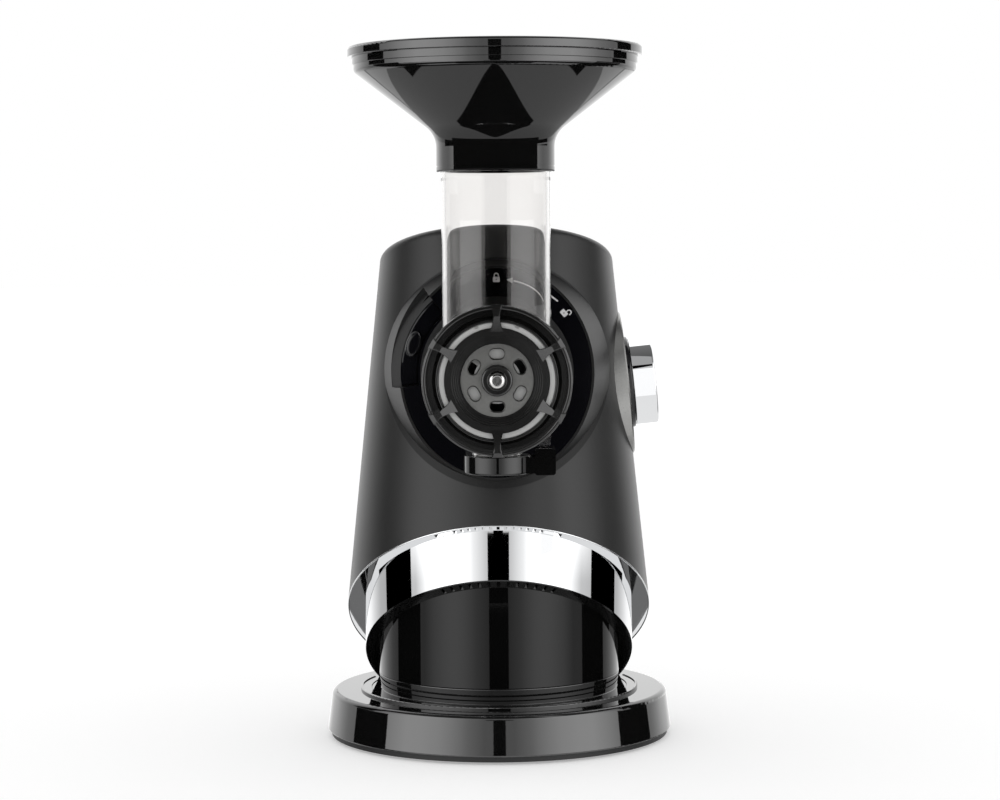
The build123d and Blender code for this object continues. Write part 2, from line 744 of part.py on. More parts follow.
# ---------------------------------------------------------------- drum and what it holds
def drum():
    """Clear moulding: bayonet plug, barrel, feed tube, spout and hinge lug in one."""
    wall_front = DRUM_FLANGE_REACH + DRUM_FLANGE
    body = turned(
        [
            (PLUG_R - PLUG_WALL, PLUG_REACH),
            (PLUG_R, PLUG_REACH),
            (PLUG_R, DRUM_FLANGE_REACH),
            (DRUM_FLANGE_R, DRUM_FLANGE_REACH),
            (DRUM_FLANGE_R, wall_front),
            (BARREL_R, wall_front),
            (BARREL_R, BARREL_FRONT),
            (0, BARREL_FRONT),
            (0, wall_front - BARREL_REAR_WALL),
            (PLUG_R - PLUG_WALL, wall_front - BARREL_REAR_WALL),
        ],
        [0, 0.8, 0, 0, 0.8, 1.5, 0.5, 0, 0, 0],
    )
    lug = ring(LUG_R, PLUG_R - 1, LUG_REACH, LUG_REACH + LUG_T, LUG_SPAN, -LUG_SPAN / 2)
    for place in around(LUG_COUNT, 0, 90):
        body += place * lug
    cap_lug = ring(
        CAP_LUG_R, BARREL_R - 1, DRUM_CAP_LUG, DRUM_CAP_LUG + CAP_LUG_T,
        CAP_LUG_SPAN, -CAP_LUG_SPAN / 2,
    )
    for place in around(LUG_COUNT, 0, 90):
        body += place * cap_lug
    body = DRIVE * body
    body += Pos(0, -FEED_REACH, 0) * rod(FEED_R, AXIS_Z, FEED_TOP_Z)
    body += Pos(0, -SPOUT_REACH, 0) * rod(SPOUT_R, SPOUT_LOW_Z, AXIS_Z)
    body += hinge_lug()
    body -= DRIVE * rod(BARREL_BORE_R, wall_front, BARREL_FRONT)
    body -= DRIVE * rod(SEAL_R, PLUG_REACH, BARREL_FRONT)
    body -= Pos(0, -FEED_REACH, 0) * rod(FEED_R - FEED_WALL, AXIS_Z, FEED_TOP_Z)
    body -= Pos(0, -SPOUT_REACH, 0) * rod(SPOUT_R - SPOUT_WALL, SPOUT_LOW_Z, AXIS_Z)
    return body


def hinge_pin_frame(reach):
    return Plane(
        origin=(FLIP_HINGE_X, -reach, FLIP_HINGE_Z), x_dir=(1, 0, 0), z_dir=(0, -1, 0)
    )


def hinge_lug():
    """Ear beside the spout that carries the flip cap's pin."""
    low = FLIP_HINGE_Z - DRUM_LUG_W / 2
    ear = Box(
        DRUM_LUG_W, DRUM_LUG_T, AXIS_Z - low, align=(Align.CENTER, Align.CENTER, Align.MIN)
    )
    ear = Pos(FLIP_HINGE_X, -SPOUT_REACH, low) * ear
    ear = fillet(ear.edges().filter_by(Axis.Y).group_by(Axis.Z)[0], DRUM_LUG_W / 2 - 0.1)
    trim = DRIVE * rod(BARREL_R, BARREL_R, BARREL_FRONT)
    pin_hole = hinge_pin_frame(SPOUT_REACH) * rod(FLIP_PIN_R, -DRUM_LUG_T, DRUM_LUG_T)
    return ear - trim - pin_hole


def hinge_half():
    return DRUM_LUG_T / 2 + FLIP_SIDE_GAP + FLIP_KNUCKLE


def hinge_pin():
    """Pin driven in from behind, hidden at the front by the blind knuckle."""
    half = hinge_half()
    return hinge_pin_frame(SPOUT_REACH) * rod(FLIP_PIN_R, -half, half - FLIP_BLIND)


def drum_seal():
    front = DRUM_FLANGE_REACH + DRUM_FLANGE
    back = front - BARREL_REAR_WALL
    return DRIVE * ring(SEAL_R, SHAFT_R + BODY_GAP, back, front)


def strainer():
    """Perforated basket round the auger, open on top under the feed tube."""
    back = DRUM_FLANGE_REACH + DRUM_FLANGE
    front = BARREL_FRONT - BODY_GAP
    body = ring(STRAINER_R, STRAINER_R - STRAINER_WALL, back, front)
    feed = Pos(0, 0, FEED_REACH) * Rot(-90, 0, 0) * rod(STRAINER_FEED_R, 0, BARREL_R)
    body -= feed
    slot = Box(STRAINER_WALL * 4, STRAINER_SLOT_W, STRAINER_SLOT_L)
    pitch = (front - back) / STRAINER_ROWS
    for row in range(STRAINER_ROWS):
        reach = back + pitch * (row + 0.5)
        for column_index in range(STRAINER_COLUMNS):
            angle = 270 + 18 * (column_index - (STRAINER_COLUMNS - 1) / 2)
            body -= Rot(0, 0, angle) * Pos(STRAINER_R - STRAINER_WALL / 2, 0, reach) * slot
    return DRIVE * body


def auger():
    """Tapered core with one helical flight and a hexagonal socket for the drive shaft."""
    back = DRUM_FLANGE_REACH + DRUM_FLANGE + BODY_GAP
    core = turned(
        [(0, back), (AUGER_CORE_REAR_R, back), (AUGER_CORE_FRONT_R, AUGER_FRONT), (0, AUGER_FRONT)]
    )
    half_root = AUGER_FLIGHT_ROOT / 2
    half_tip = AUGER_FLIGHT_TIP / 2
    root_r = AUGER_CORE_REAR_R / 2
    over_r = AUGER_R + 1
    start = back + half_root + AUGER_END
    height = AUGER_FRONT - half_root - AUGER_END - start
    section = Plane.XZ * make_face(
        Polyline(
            (root_r, -half_root), (over_r, -half_tip), (over_r, half_tip), (root_r, half_root),
            close=True,
        )
    )
    path = Helix(height / AUGER_TURNS, height, AUGER_CORE_REAR_R)
    flight = Pos(0, 0, start) * sweep(section, path=path, is_frenet=True)
    body = (core + flight) & rod(AUGER_R, back, AUGER_FRONT)
    for place in around(AUGER_LOBES, 0, 90):
        body += place * auger_lobe()
    socket = RegularPolygon(HEX_FLATS / 2 + HEX_CLEARANCE, 6, major_radius=False)
    body -= Pos(0, 0, back) * extrude(socket, HEX_LENGTH + 1)
    body -= rod(PIN_R, AUGER_FRONT - PIN_SEAT, AUGER_FRONT)
    return DRIVE * body


def auger_lobe():
    """Paddle on the nose of the auger that sweeps the pulp out through the nozzle plate."""
    blade = SlotOverall(2 * AUGER_LOBE_R, AUGER_LOBE_W) & Pos(AUGER_LOBE_R / 2, 0) * Rectangle(
        AUGER_LOBE_R, AUGER_LOBE_W
    )
    return Pos(0, 0, AUGER_FRONT - AUGER_LOBE_T) * extrude(blade, AUGER_LOBE_T)


def auger_pin():
    """Steel nose pin of the auger, domed where it shows in the nozzle bush."""
    low = AUGER_FRONT - PIN_SEAT
    body = turned(
        [(0, low), (PIN_R, low), (PIN_R, PIN_FRONT), (0, PIN_FRONT)], [0, 0, PIN_R * 0.45, 0]
    )
    return DRIVE * body


def end_cap():
    """Screwed front ring: grip ring, six ribs, windows, hub with stepped mouth and bayonet skirt."""
    web_front = CAP_WEB_BACK + CAP_WEB_T
    ring_in = CAP_R - CAP_RING_WALL
    skirt_in = CAP_LUG_R + BODY_GAP
    grip = turned(
        [
            (ring_in, CAP_RING_REAR), (CAP_R, CAP_RING_REAR),
            (CAP_R, CAP_RING_FRONT), (ring_in, CAP_RING_FRONT),
        ],
        [0.5, 0.8, 1.0, 0.6],
    )
    channel = turned(
        [
            (CAP_WINDOW_R, CAP_WEB_BACK),
            (ring_in + 0.5, CAP_WEB_BACK),
            (ring_in + 0.5, web_front),
            (CAP_WALL_R + 2.0, web_front),
            (CAP_WALL_R, web_front + 2.0),
            (CAP_WALL_R, CAP_FACE_FRONT - 1.0),
            (CAP_WINDOW_R, CAP_FACE_FRONT - 1.0),
        ],
        [0, 0, 0, 0, 0, 0.4, 0.4],
    )
    skirt = ring(skirt_in + CAP_SKIRT_WALL, skirt_in, CAP_LUG_REACH - CAP_SKIRT_OVER, web_front)
    body = grip + channel + skirt + hub()
    lug = ring(
        skirt_in + 0.5, BARREL_R + BODY_GAP, CAP_LUG_REACH, CAP_LUG_REACH + CAP_LUG_T,
        CAP_LUG_SPAN, -CAP_LUG_SPAN / 2,
    )
    for place in around(LUG_COUNT, 0, 90):
        body += place * lug
    for place in around(RIB_COUNT, 0, 90):
        body += place * rib()
    return DRIVE * body


def hub():
    """Central face of the cap with a mouth that steps down to the nozzle plate."""
    seat_r = CAP_NOZZLE_R - CAP_MOUTH
    points = [(seat_r, NOZZLE_REACH), (seat_r, CAP_WEB_BACK)]
    points += [(CAP_HUB_R, CAP_WEB_BACK), (CAP_HUB_R, CAP_FACE_FRONT)]
    level = CAP_FACE_FRONT
    for radius in reversed(CAP_STEPS):
        points += [(radius, level), (radius - CAP_STEP_BEVEL, level - CAP_STEP_H)]
        level -= CAP_STEP_H
    points += [(CAP_NOZZLE_R, level), (CAP_NOZZLE_R, NOZZLE_REACH)]
    return turned(points)


def rib_outline(grow):
    """Hourglass plan of a grip rib along +X, its sides moved out by grow."""
    reach = CAP_R + 0.4
    half_in = RIB_IN_W / 2 + grow
    half_waist = RIB_WAIST_W / 2 + grow
    half_out = RIB_OUT_W / 2 + grow
    left = ThreePointArc((RIB_IN_R, half_in), (RIB_WAIST_R, half_waist), (reach, half_out))
    right = ThreePointArc((reach, -half_out), (RIB_WAIST_R, -half_waist), (RIB_IN_R, -half_in))
    return make_face([left, Line(left @ 1, right @ 0), right, Line(right @ 1, left @ 0)])


def rib():
    """Radial grip bar, highest at the rim and falling towards the hub."""
    high = CAP_RING_FRONT + RIB_PROUD
    bar = Pos(0, 0, CAP_WEB_BACK) * extrude(rib_outline(0), high - CAP_WEB_BACK)
    side = Plane.XZ * make_face(
        Polyline(
            (RIB_IN_R - 1, CAP_WEB_BACK), (CAP_R + 1, CAP_WEB_BACK), (CAP_R + 1, high - 1.0),
            (CAP_R - 2, high), (CAP_R - 6, high), (RIB_IN_R - 1, CAP_FACE_FRONT - 0.6), close=True,
        )
    )
    bar = bar & extrude(side, RIB_IN_W, both=True)
    flat = bar.faces().filter_by(Axis.Z).sort_by(Axis.Z)[-1]
    slope = bar.faces().sort_by(Axis.Z)[-2]
    sides = [edge for edge in flat.edges() + slope.edges() if abs(edge.center().Y) > RIB_BEVEL]
    return chamfer(sides, RIB_BEVEL)


def cap_gasket():
    """Silicone ring that seals on the barrel, with a pale upstand showing in the cap's windows."""
    low = BARREL_FRONT + BODY_GAP
    outer = CAP_WINDOW_R - SEAM
    inner = CAP_HUB_R + SEAM
    high = CAP_FACE_FRONT - GASKET_SINK
    upstand = ring(outer, inner, low + GASKET_T, high)
    for place in around(RIB_COUNT, 0, 90):
        upstand -= place * Pos(0, 0, low) * extrude(rib_outline(SEAM), CAP_FACE_FRONT - low)
    notch = Pos(outer, 0, high) * Box(2 * GASKET_NOTCH_D, GASKET_NOTCH_W, 2 * GASKET_NOTCH_D)
    for turn in (90 - GASKET_NOTCH_AT, 90 + GASKET_NOTCH_AT):
        upstand -= Rot(0, 0, turn) * notch
    return DRIVE * (ring(BARREL_R, inner, low, low + GASKET_T) + upstand)


def nozzle_plate():
    hole = SlotOverall(NOZZLE_HOLE_L, NOZZLE_HOLE_W, rotation=90)
    plate = Circle(CAP_NOZZLE_R - SEAM)
    for place in around(RIB_COUNT, NOZZLE_HOLE_CIRCLE_R, 90):
        plate -= place * hole
    body = Pos(0, 0, NOZZLE_REACH) * extrude(plate, NOZZLE_T)
    face = body.faces().sort_by(Axis.Z)[-1]
    rims = [edge for wire in face.inner_wires() for edge in wire.edges()]
    body = chamfer(rims, NOZZLE_BEVEL)
    return DRIVE * (body - rod(BUSH_R, NOZZLE_REACH, NOZZLE_REACH + NOZZLE_T))


def nozzle_bush():
    low = NOZZLE_REACH - BUSH_TAIL
    high = NOZZLE_REACH + NOZZLE_T + BUSH_PROUD
    inner = PIN_R + BODY_GAP
    return DRIVE * turned(
        [(inner, low), (BUSH_R, low), (BUSH_R, high), (inner, high)], [0, 0, 1.2, 0.6]
    )


def flip_cap():
    """Drip cap under the spout: round lid, arm and two hinge knuckles."""
    high = SPOUT_LOW_Z - BODY_GAP
    low = high - FLIP_H
    half = hinge_half()
    lid = Pos(0, -SPOUT_REACH, 0) * turned(
        [(0, low), (FLIP_R, low), (FLIP_R, high), (0, high)], [0, 1.2, 0.6, 0]
    )
    block = Box(FLIP_BLOCK_W, 2 * half, FLIP_BLOCK_H)
    block = fillet(block.edges().filter_by(Axis.Y), FLIP_BLOCK_ROUND)
    arm = Pos(FLIP_ARM_REACH, -SPOUT_REACH, low + FLIP_ARM_INSET) * Box(
        FLIP_HINGE_X - FLIP_ARM_REACH, 2 * half, FLIP_H - 2 * FLIP_ARM_INSET,
        align=(Align.MIN, Align.CENTER, Align.MIN),
    )
    body = lid + arm + Pos(FLIP_HINGE_X, -SPOUT_REACH, FLIP_HINGE_Z) * block
    inner = DRUM_LUG_T / 2 + FLIP_SIDE_GAP
    body -= Pos(FLIP_R + BODY_GAP, -SPOUT_REACH, low) * Box(
        2 * FLIP_BLOCK_W, 2 * inner, 4 * FLIP_BLOCK_H, align=(Align.MIN, Align.CENTER, Align.CENTER)
    )
    body -= hinge_pin_frame(SPOUT_REACH) * rod(FLIP_PIN_R + PIN_FIT, -FLIP_R, half - FLIP_BLIND + PIN_FIT)
    return body - Pos(0, -SPOUT_REACH, 0) * rod(FLIP_SEAL_R, high - FLIP_SEAL_T, high + FLIP_H)


def flip_seal():
    high = SPOUT_LOW_Z - BODY_GAP
    return Pos(0, -SPOUT_REACH, 0) * rod(FLIP_SEAL_R - SEAM, high - FLIP_SEAL_T, high)


def hopper():
    """Round funnel whose collar slips over the feed tube and rests on its rim."""
    slope = math.radians(HOPPER_CONE_ANGLE)
    bore = FEED_R + BODY_GAP
    throat = FEED_R - FEED_WALL
    rim_in = HOPPER_R - HOPPER_WALL
    seat = FEED_TOP_Z + BODY_GAP
    lip_z = HOPPER_TOP_Z - HOPPER_LIP_H
    step_r = HOPPER_R + HOPPER_STEP
    groove_r = HOPPER_COLLAR_R - HOPPER_GROOVE

    def outside(radius):
        return HOPPER_NECK_Z + (radius - HOPPER_COLLAR_R) * math.tan(slope)

    def inside(radius):
        return outside(radius) + HOPPER_WALL / math.cos(slope)

    corners = [
        ((bore, HOPPER_COLLAR_LOW_Z), 0.5),
        ((HOPPER_COLLAR_R, HOPPER_COLLAR_LOW_Z), 1.0),
        ((HOPPER_COLLAR_R, HOPPER_GROOVE_Z), 0),
        ((groove_r, HOPPER_GROOVE_Z), 0),
        ((groove_r, HOPPER_GROOVE_Z + HOPPER_GROOVE), 0),
        ((HOPPER_COLLAR_R, HOPPER_GROOVE_Z + HOPPER_GROOVE), 0),
        ((HOPPER_COLLAR_R, HOPPER_NECK_Z), HOPPER_NECK_ROUND),
        ((HOPPER_R, outside(HOPPER_R)), HOPPER_SHOULDER_ROUND),
        ((HOPPER_R, lip_z - HOPPER_STEP_H), 0),
        ((step_r, lip_z - HOPPER_STEP_H), 0.3),
        ((step_r, lip_z), 0),
        ((HOPPER_LIP_R, lip_z), 0.6),
        ((HOPPER_LIP_R, HOPPER_TOP_Z), 1.8),
        ((rim_in, HOPPER_TOP_Z), 1.4),
        ((rim_in, inside(rim_in)), HOPPER_SHOULDER_ROUND),
        ((throat, inside(throat)), HOPPER_THROAT_ROUND),
        ((throat, seat), 0.5),
        ((bore, seat), 0),
    ]
    points = [point for point, _ in corners]
    return Pos(0, -FEED_REACH, 0) * turned(points, [rounding for _, rounding in corners])


# ---------------------------------------------------------------- knob and switch
def wall_reach():
    """Distance from the vertical axis to the sloping wall along the knob's axis."""
    return shell_radius(KNOB_Z) * math.cos(KNOB_TILT)


def dial_seat():
    return wall_reach() + BEZEL_PROUD - DIAL_SINK


def knob_bezel():
    """Oval raised pad that evens out the sloping wall round the knob."""
    face = wall_reach() + BEZEL_PROUD
    low = SHELL_R / 2
    body = Pos(0, 0, low) * extrude(Ellipse(BEZEL_HALF_W, BEZEL_HALF_H), face - low)
    body = chamfer(body.faces().sort_by(Axis.Z)[-1].edges(), BEZEL_BEVEL)
    body -= rod(DIAL_R + DIAL_GAP, dial_seat(), face)
    body -= rod(SPINDLE_R + SPINDLE_FIT, 0, face)
    return KNOB * body - cone(0)


def dial_plate():
    low = dial_seat()
    body = turned(
        [
            (SPINDLE_R + SPINDLE_FIT, low),
            (DIAL_R, low),
            (DIAL_R, low + DIAL_T),
            (SPINDLE_R + SPINDLE_FIT, low + DIAL_T),
        ],
        [0, 0, 1.0, 0],
    )
    return KNOB * body


def knob_reach():
    return dial_seat() + DIAL_T + BODY_GAP


def speed_knob():
    low = knob_reach()
    high = low + KNOB_LENGTH
    boss_r = SPINDLE_R + KNOB_WALL
    body = turned(
        [
            (SPINDLE_R, low),
            (boss_r, low),
            (boss_r, high - KNOB_WALL),
            (KNOB_R - KNOB_WALL, high - KNOB_WALL),
            (KNOB_R - KNOB_WALL, low),
            (KNOB_R, low),
            (KNOB_R, high),
            (0, high),
            (0, high - KNOB_WALL),
            (SPINDLE_R, high - KNOB_WALL),
        ],
        [0, 0, 0, 0, 0, 0.4, KNOB_ROUND, 0, 0, 0],
    )
    mark = Pos(0, KNOB_R * 0.72, high) * Box(KNOB_POINTER_W, KNOB_R * 0.4, 1.0)
    return KNOB * (body - mark)


def knob_spindle():
    back = switch_front() - SWITCH_LENGTH * 0.6
    return KNOB * rod(SPINDLE_R, back, knob_reach() + KNOB_LENGTH - KNOB_WALL)


def switch_front():
    return wall_reach() - SHELL_WALL


def speed_switch():
    front = switch_front()
    body = rod(SWITCH_R, front - SWITCH_LENGTH, front)
    body -= rod(SPINDLE_R + SPINDLE_FIT, front - SWITCH_LENGTH * 0.6 - BODY_GAP, front)
    return (KNOB * body) & cone(SHELL_WALL)


# ---------------------------------------------------------------- drive train
def involute(angle):
    return math.tan(angle) - angle


def gear(teeth, module, width, bore, tooth_at):
    """Spur gear about local Z with involute flanks and a tooth centred at the given angle."""
    pitch_r = module * teeth / 2
    tip_r = pitch_r + ADDENDUM * module
    root_r = pitch_r - DEDENDUM * module
    pressure = math.radians(PRESSURE_ANGLE)
    base_r = pitch_r * math.cos(pressure)
    half_pitch = math.pi / (2 * teeth) - BACKLASH / (2 * pitch_r)
    flank = []
    for radius in (max(base_r, root_r + 0.01), pitch_r, tip_r):
        here = math.acos(min(1.0, base_r / radius))
        flank.append((radius, half_pitch + involute(pressure) - involute(here)))
    tooth = [(root_r, flank[0][1])] + flank
    outline = []
    for i in range(teeth):
        middle = math.radians(tooth_at) + 2 * math.pi * i / teeth
        rising = [(r, middle - half) for r, half in tooth]
        falling = [(r, middle + half) for r, half in reversed(tooth)]
        outline += [(r * math.cos(a), r * math.sin(a)) for r, a in rising + falling]
    return extrude(make_face(Polyline(*outline, close=True)) - Circle(bore), width)


def output_gear():
    low = GEARBOX_FRONT - GEARBOX_WALL - 2.0 - OUTPUT_GEAR_W
    return DRIVE * (Pos(0, 0, low) * gear(OUTPUT_TEETH, OUTPUT_MODULE, OUTPUT_GEAR_W, SHAFT_R, -90))


def output_gear_back():
    return GEARBOX_FRONT - GEARBOX_WALL - 2.0 - OUTPUT_GEAR_W


def idler_gear():
    """Large wheel driven by the motor and small pinion that drives the output gear, in one."""
    bore = IDLER_SHAFT_R + RUNNING_FIT
    wheel_low = output_gear_back() - 1.5 - IDLER_WHEEL_W
    pinion_tooth = 90 + 180 / IDLER_PINION_TEETH
    pinion = gear(IDLER_PINION_TEETH, OUTPUT_MODULE, OUTPUT_GEAR_W + 1.5, bore, pinion_tooth)
    wheel = gear(IDLER_TEETH, MOTOR_MODULE, IDLER_WHEEL_W, bore, -90)
    body = Pos(0, 0, wheel_low) * wheel + Pos(0, 0, wheel_low + IDLER_WHEEL_W) * pinion
    return DRIVE * (Pos(0, -IDLER_DROP, 0) * body)


def idler_shaft():
    return DRIVE * (Pos(0, -IDLER_DROP, 0) * rod(IDLER_SHAFT_R, GEARBOX_REAR, GEARBOX_FRONT))


def motor_pinion():
    low = output_gear_back() - 1.5 - IDLER_WHEEL_W - 0.5
    tooth = 90 + 180 / MOTOR_TEETH
    body = gear(MOTOR_TEETH, MOTOR_MODULE, IDLER_WHEEL_W + 1, MOTOR_SHAFT_R, tooth)
    return DRIVE * (Pos(0, -MOTOR_DROP, low) * body)


def gearbox_outline(shrink):
    circles = [
        Circle(GEARBOX_TOP_R - shrink),
        Pos(0, -IDLER_DROP) * Circle(GEARBOX_MID_R - shrink),
        Pos(0, -MOTOR_DROP) * Circle(GEARBOX_LOW_R - shrink),
    ]
    return make_hull([edge for circle in circles for edge in circle.edges()])


def case_screw_spots():
    """Centres of the screw lugs, two beside the output gear and two beside the idler."""
    upper = (GEARBOX_TOP_R + CASE_LUG_OUT, 0)
    lower = (GEARBOX_MID_R + CASE_LUG_OUT, -IDLER_DROP)
    return [Pos(side * x, y, 0) for side in (-1, 1) for x, y in (upper, lower)]


def gearbox_case():
    """Front half: wall with the bearing seat, screw lugs and an open back."""
    split_reach = GEARBOX_REAR + GEARBOX_WALL
    screw_end = GEARBOX_REAR + CASE_SCREW_L
    block = Pos(0, 0, split_reach) * extrude(gearbox_outline(0), GEARBOX_FRONT - split_reach)
    for spot in case_screw_spots():
        block += spot * rod(CASE_LUG_R, split_reach, screw_end + GEARBOX_WALL)
        block -= spot * rod(CASE_SCREW_R, split_reach, screw_end)
    hollow = Pos(0, 0, split_reach) * extrude(
        gearbox_outline(GEARBOX_WALL), GEARBOX_FRONT - GEARBOX_WALL - split_reach
    )
    body = block - hollow - rod(BEARING_R, GEARBOX_FRONT - BEARING_W, GEARBOX_FRONT)
    body += ring(BEARING_R + 2, BEARING_R, GEARBOX_FRONT - BEARING_W, GEARBOX_FRONT)
    body -= Pos(0, -IDLER_DROP, 0) * rod(IDLER_SHAFT_R, 0, GEARBOX_FRONT)
    return DRIVE * body


def gearbox_cover():
    split_reach = GEARBOX_REAR + GEARBOX_WALL
    body = Pos(0, 0, GEARBOX_REAR) * extrude(gearbox_outline(0), GEARBOX_WALL)
    for spot in case_screw_spots():
        body += spot * rod(CASE_LUG_R, GEARBOX_REAR, split_reach)
        body -= spot * rod(CASE_SCREW_R, GEARBOX_REAR, split_reach)
    body += ring(BEARING_R + 3, BEARING_R, split_reach - BEARING_W - 2, GEARBOX_REAR)
    body -= rod(BEARING_R, 0, split_reach)
    body -= Pos(0, -IDLER_DROP, 0) * rod(IDLER_SHAFT_R, 0, GEARBOX_FRONT)
    body -= Pos(0, -MOTOR_DROP, 0) * rod(MOTOR_SHAFT_R + 1, 0, GEARBOX_FRONT)
    return DRIVE * body


def gearbox_screws():
    screw = rod(CASE_SCREW_HEAD_R, GEARBOX_REAR - CASE_SCREW_HEAD_H, GEARBOX_REAR)
    screw += rod(CASE_SCREW_R, GEARBOX_REAR, GEARBOX_REAR + CASE_SCREW_L)
    return DRIVE * Compound(children=[spot * screw for spot in case_screw_spots()])


def bearing(low):
    return DRIVE * ring(BEARING_R, SHAFT_R + RUNNING_FIT, low, low + BEARING_W)


def front_bearing():
    return bearing(GEARBOX_FRONT - BEARING_W)


def rear_bearing():
    return bearing(GEARBOX_REAR + GEARBOX_WALL - BEARING_W)


def shaft_seal():
    return DRIVE * ring(SEAL_R, SHAFT_R + BODY_GAP, GEARBOX_FRONT, GEARBOX_FRONT + SLEEVE_FLOOR)


def output_shaft():
    shoulder = DRUM_FLANGE_REACH + DRUM_FLANGE
    body = rod(SHAFT_R, GEARBOX_REAR - 2, shoulder)
    hexagon = extrude(RegularPolygon(HEX_FLATS / 2, 6, major_radius=False), HEX_LENGTH)
    return DRIVE * (body + Pos(0, 0, shoulder) * hexagon)


def motor_can():
    high = GEARBOX_REAR
    low = high - MOTOR_LENGTH
    body = turned(
        [
            (MOTOR_SHAFT_R + RUNNING_FIT, low),
            (MOTOR_R, low),
            (MOTOR_R, high),
            (MOTOR_SHAFT_R + RUNNING_FIT, high),
        ],
        [0, 2.0, 0, 0],
    )
    body -= ring(MOTOR_R - MOTOR_WALL, MOTOR_SHAFT_R + RUNNING_FIT, low + MOTOR_WALL, high - MOTOR_WALL)
    return DRIVE * (Pos(0, -MOTOR_DROP, 0) * body)


def armature():
    """Wound core and shaft that turn inside the motor can."""
    high = GEARBOX_REAR
    core_high = high - MOTOR_WALL - BRUSH_ROOM
    shaft_high = output_gear_back() - 0.5
    body = rod(ARMATURE_R, core_high - ARMATURE_LENGTH, core_high)
    body += rod(MOTOR_SHAFT_R, high - MOTOR_LENGTH, shaft_high)
    return DRIVE * (Pos(0, -MOTOR_DROP, 0) * body)


def cooling_fan():
    """Radial fan on the armature shaft at the back of the can."""
    low = GEARBOX_REAR - MOTOR_LENGTH + MOTOR_WALL + FAN_GAP
    body = ring(FAN_HUB_R, MOTOR_SHAFT_R, low, low + FAN_H) + ring(FAN_R, MOTOR_SHAFT_R, low, low + FAN_DISC)
    blade = Pos((FAN_R + FAN_HUB_R) / 2, 0, low + FAN_H / 2) * Box(FAN_R - FAN_HUB_R + 1, FAN_DISC, FAN_H)
    for place in around(FAN_BLADES):
        body += place * blade
    return DRIVE * (Pos(0, -MOTOR_DROP, 0) * (body & rod(FAN_R, low, low + FAN_H)))


def motor_cradle():
    """Saddle on top of the column that the motor can lies in."""
    motor_z = AXIS_Z - MOTOR_DROP
    block = Box(
        CRADLE_W, CRADLE_L, motor_z - MOTOR_R * 0.6 - COLUMN_TOP_Z,
        align=(Align.CENTER, Align.CENTER, Align.MIN),
    )
    block = Pos(0, MOTOR_LENGTH / 2 - GEARBOX_REAR, COLUMN_TOP_Z) * block
    return block - DRIVE * (Pos(0, -MOTOR_DROP, 0) * rod(MOTOR_R, -MOTOR_LENGTH, GEARBOX_REAR))


def control_board():
    plate = Pos(0, 0, BOARD_Z) * Box(
        BOARD_W, BOARD_L, BOARD_T, align=(Align.CENTER, Align.CENTER, Align.MIN)
    )
    top = BOARD_Z + BOARD_T
    capacitor = Pos(-BOARD_W / 4, 0, top) * rod(CAPACITOR_R, 0, CAPACITOR_H)
    relay = Box(RELAY_L, RELAY_W, RELAY_W, align=(Align.CENTER, Align.CENTER, Align.MIN))
    choke = Pos(BOARD_W / 5, -BOARD_L / 4, top) * rod(CHOKE_R, 0, CHOKE_H)
    return plate + capacitor + choke + Pos(BOARD_W / 5, BOARD_L / 5, top) * relay


PARTS = {
    "base_shell": base_shell,
    "base_plate": base_plate,
    "base_feet": base_feet,
    "base_screws": base_screws,
    "cord_gland": cord_gland,
    "control_board": control_board,
    "plinth": plinth,
    "column": column,
    "lower_band": lower_band,
    "band_underplate": band_underplate,
    "shell_underplate": shell_underplate,
    "body_shell": body_shell,
    "top_cover": top_cover,
    "socket_fairing": socket_fairing,
    "socket_panel": socket_panel,
    "bayonet_sleeve": bayonet_sleeve,
    "shaft_seal": shaft_seal,
    "front_bearing": front_bearing,
    "rear_bearing": rear_bearing,
    "gearbox_case": gearbox_case,
    "gearbox_cover": gearbox_cover,
    "gearbox_screws": gearbox_screws,
    "idler_shaft": idler_shaft,
    "idler_gear": idler_gear,
    "output_gear": output_gear,
    "output_shaft": output_shaft,
    "motor_can": motor_can,
    "motor_cradle": motor_cradle,
    "armature": armature,
    "motor_pinion": motor_pinion,
    "cooling_fan": cooling_fan,
    "auger": auger,
    "auger_pin": auger_pin,
    "drum": drum,
    "drum_seal": drum_seal,
    "strainer": strainer,
    "hinge_pin": hinge_pin,
    "hopper": hopper,
    "end_cap": end_cap,
    "cap_gasket": cap_gasket,
    "nozzle_plate": nozzle_plate,
    "nozzle_bush": nozzle_bush,
    "flip_cap": flip_cap,
    "flip_seal": flip_seal,
    "release_button": release_button,
    "button_spring": button_spring,
    "knob_bezel": knob_bezel,
    "dial_plate": dial_plate,
    "speed_switch": speed_switch,
    "speed_knob": speed_knob,
    "knob_spindle": knob_spindle,
}

os.makedirs("parts", exist_ok=True)
for name, make in PARTS.items():
    export_step(make(), f"parts/{name}.step")
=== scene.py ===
"""Looks of the cold press juicer: finishes, printed signs, lip bead, stage, light and camera.

Everything is in metres in the part's own frame: +Z up, -Y to the front, +X to the right.
"""
import json
import math

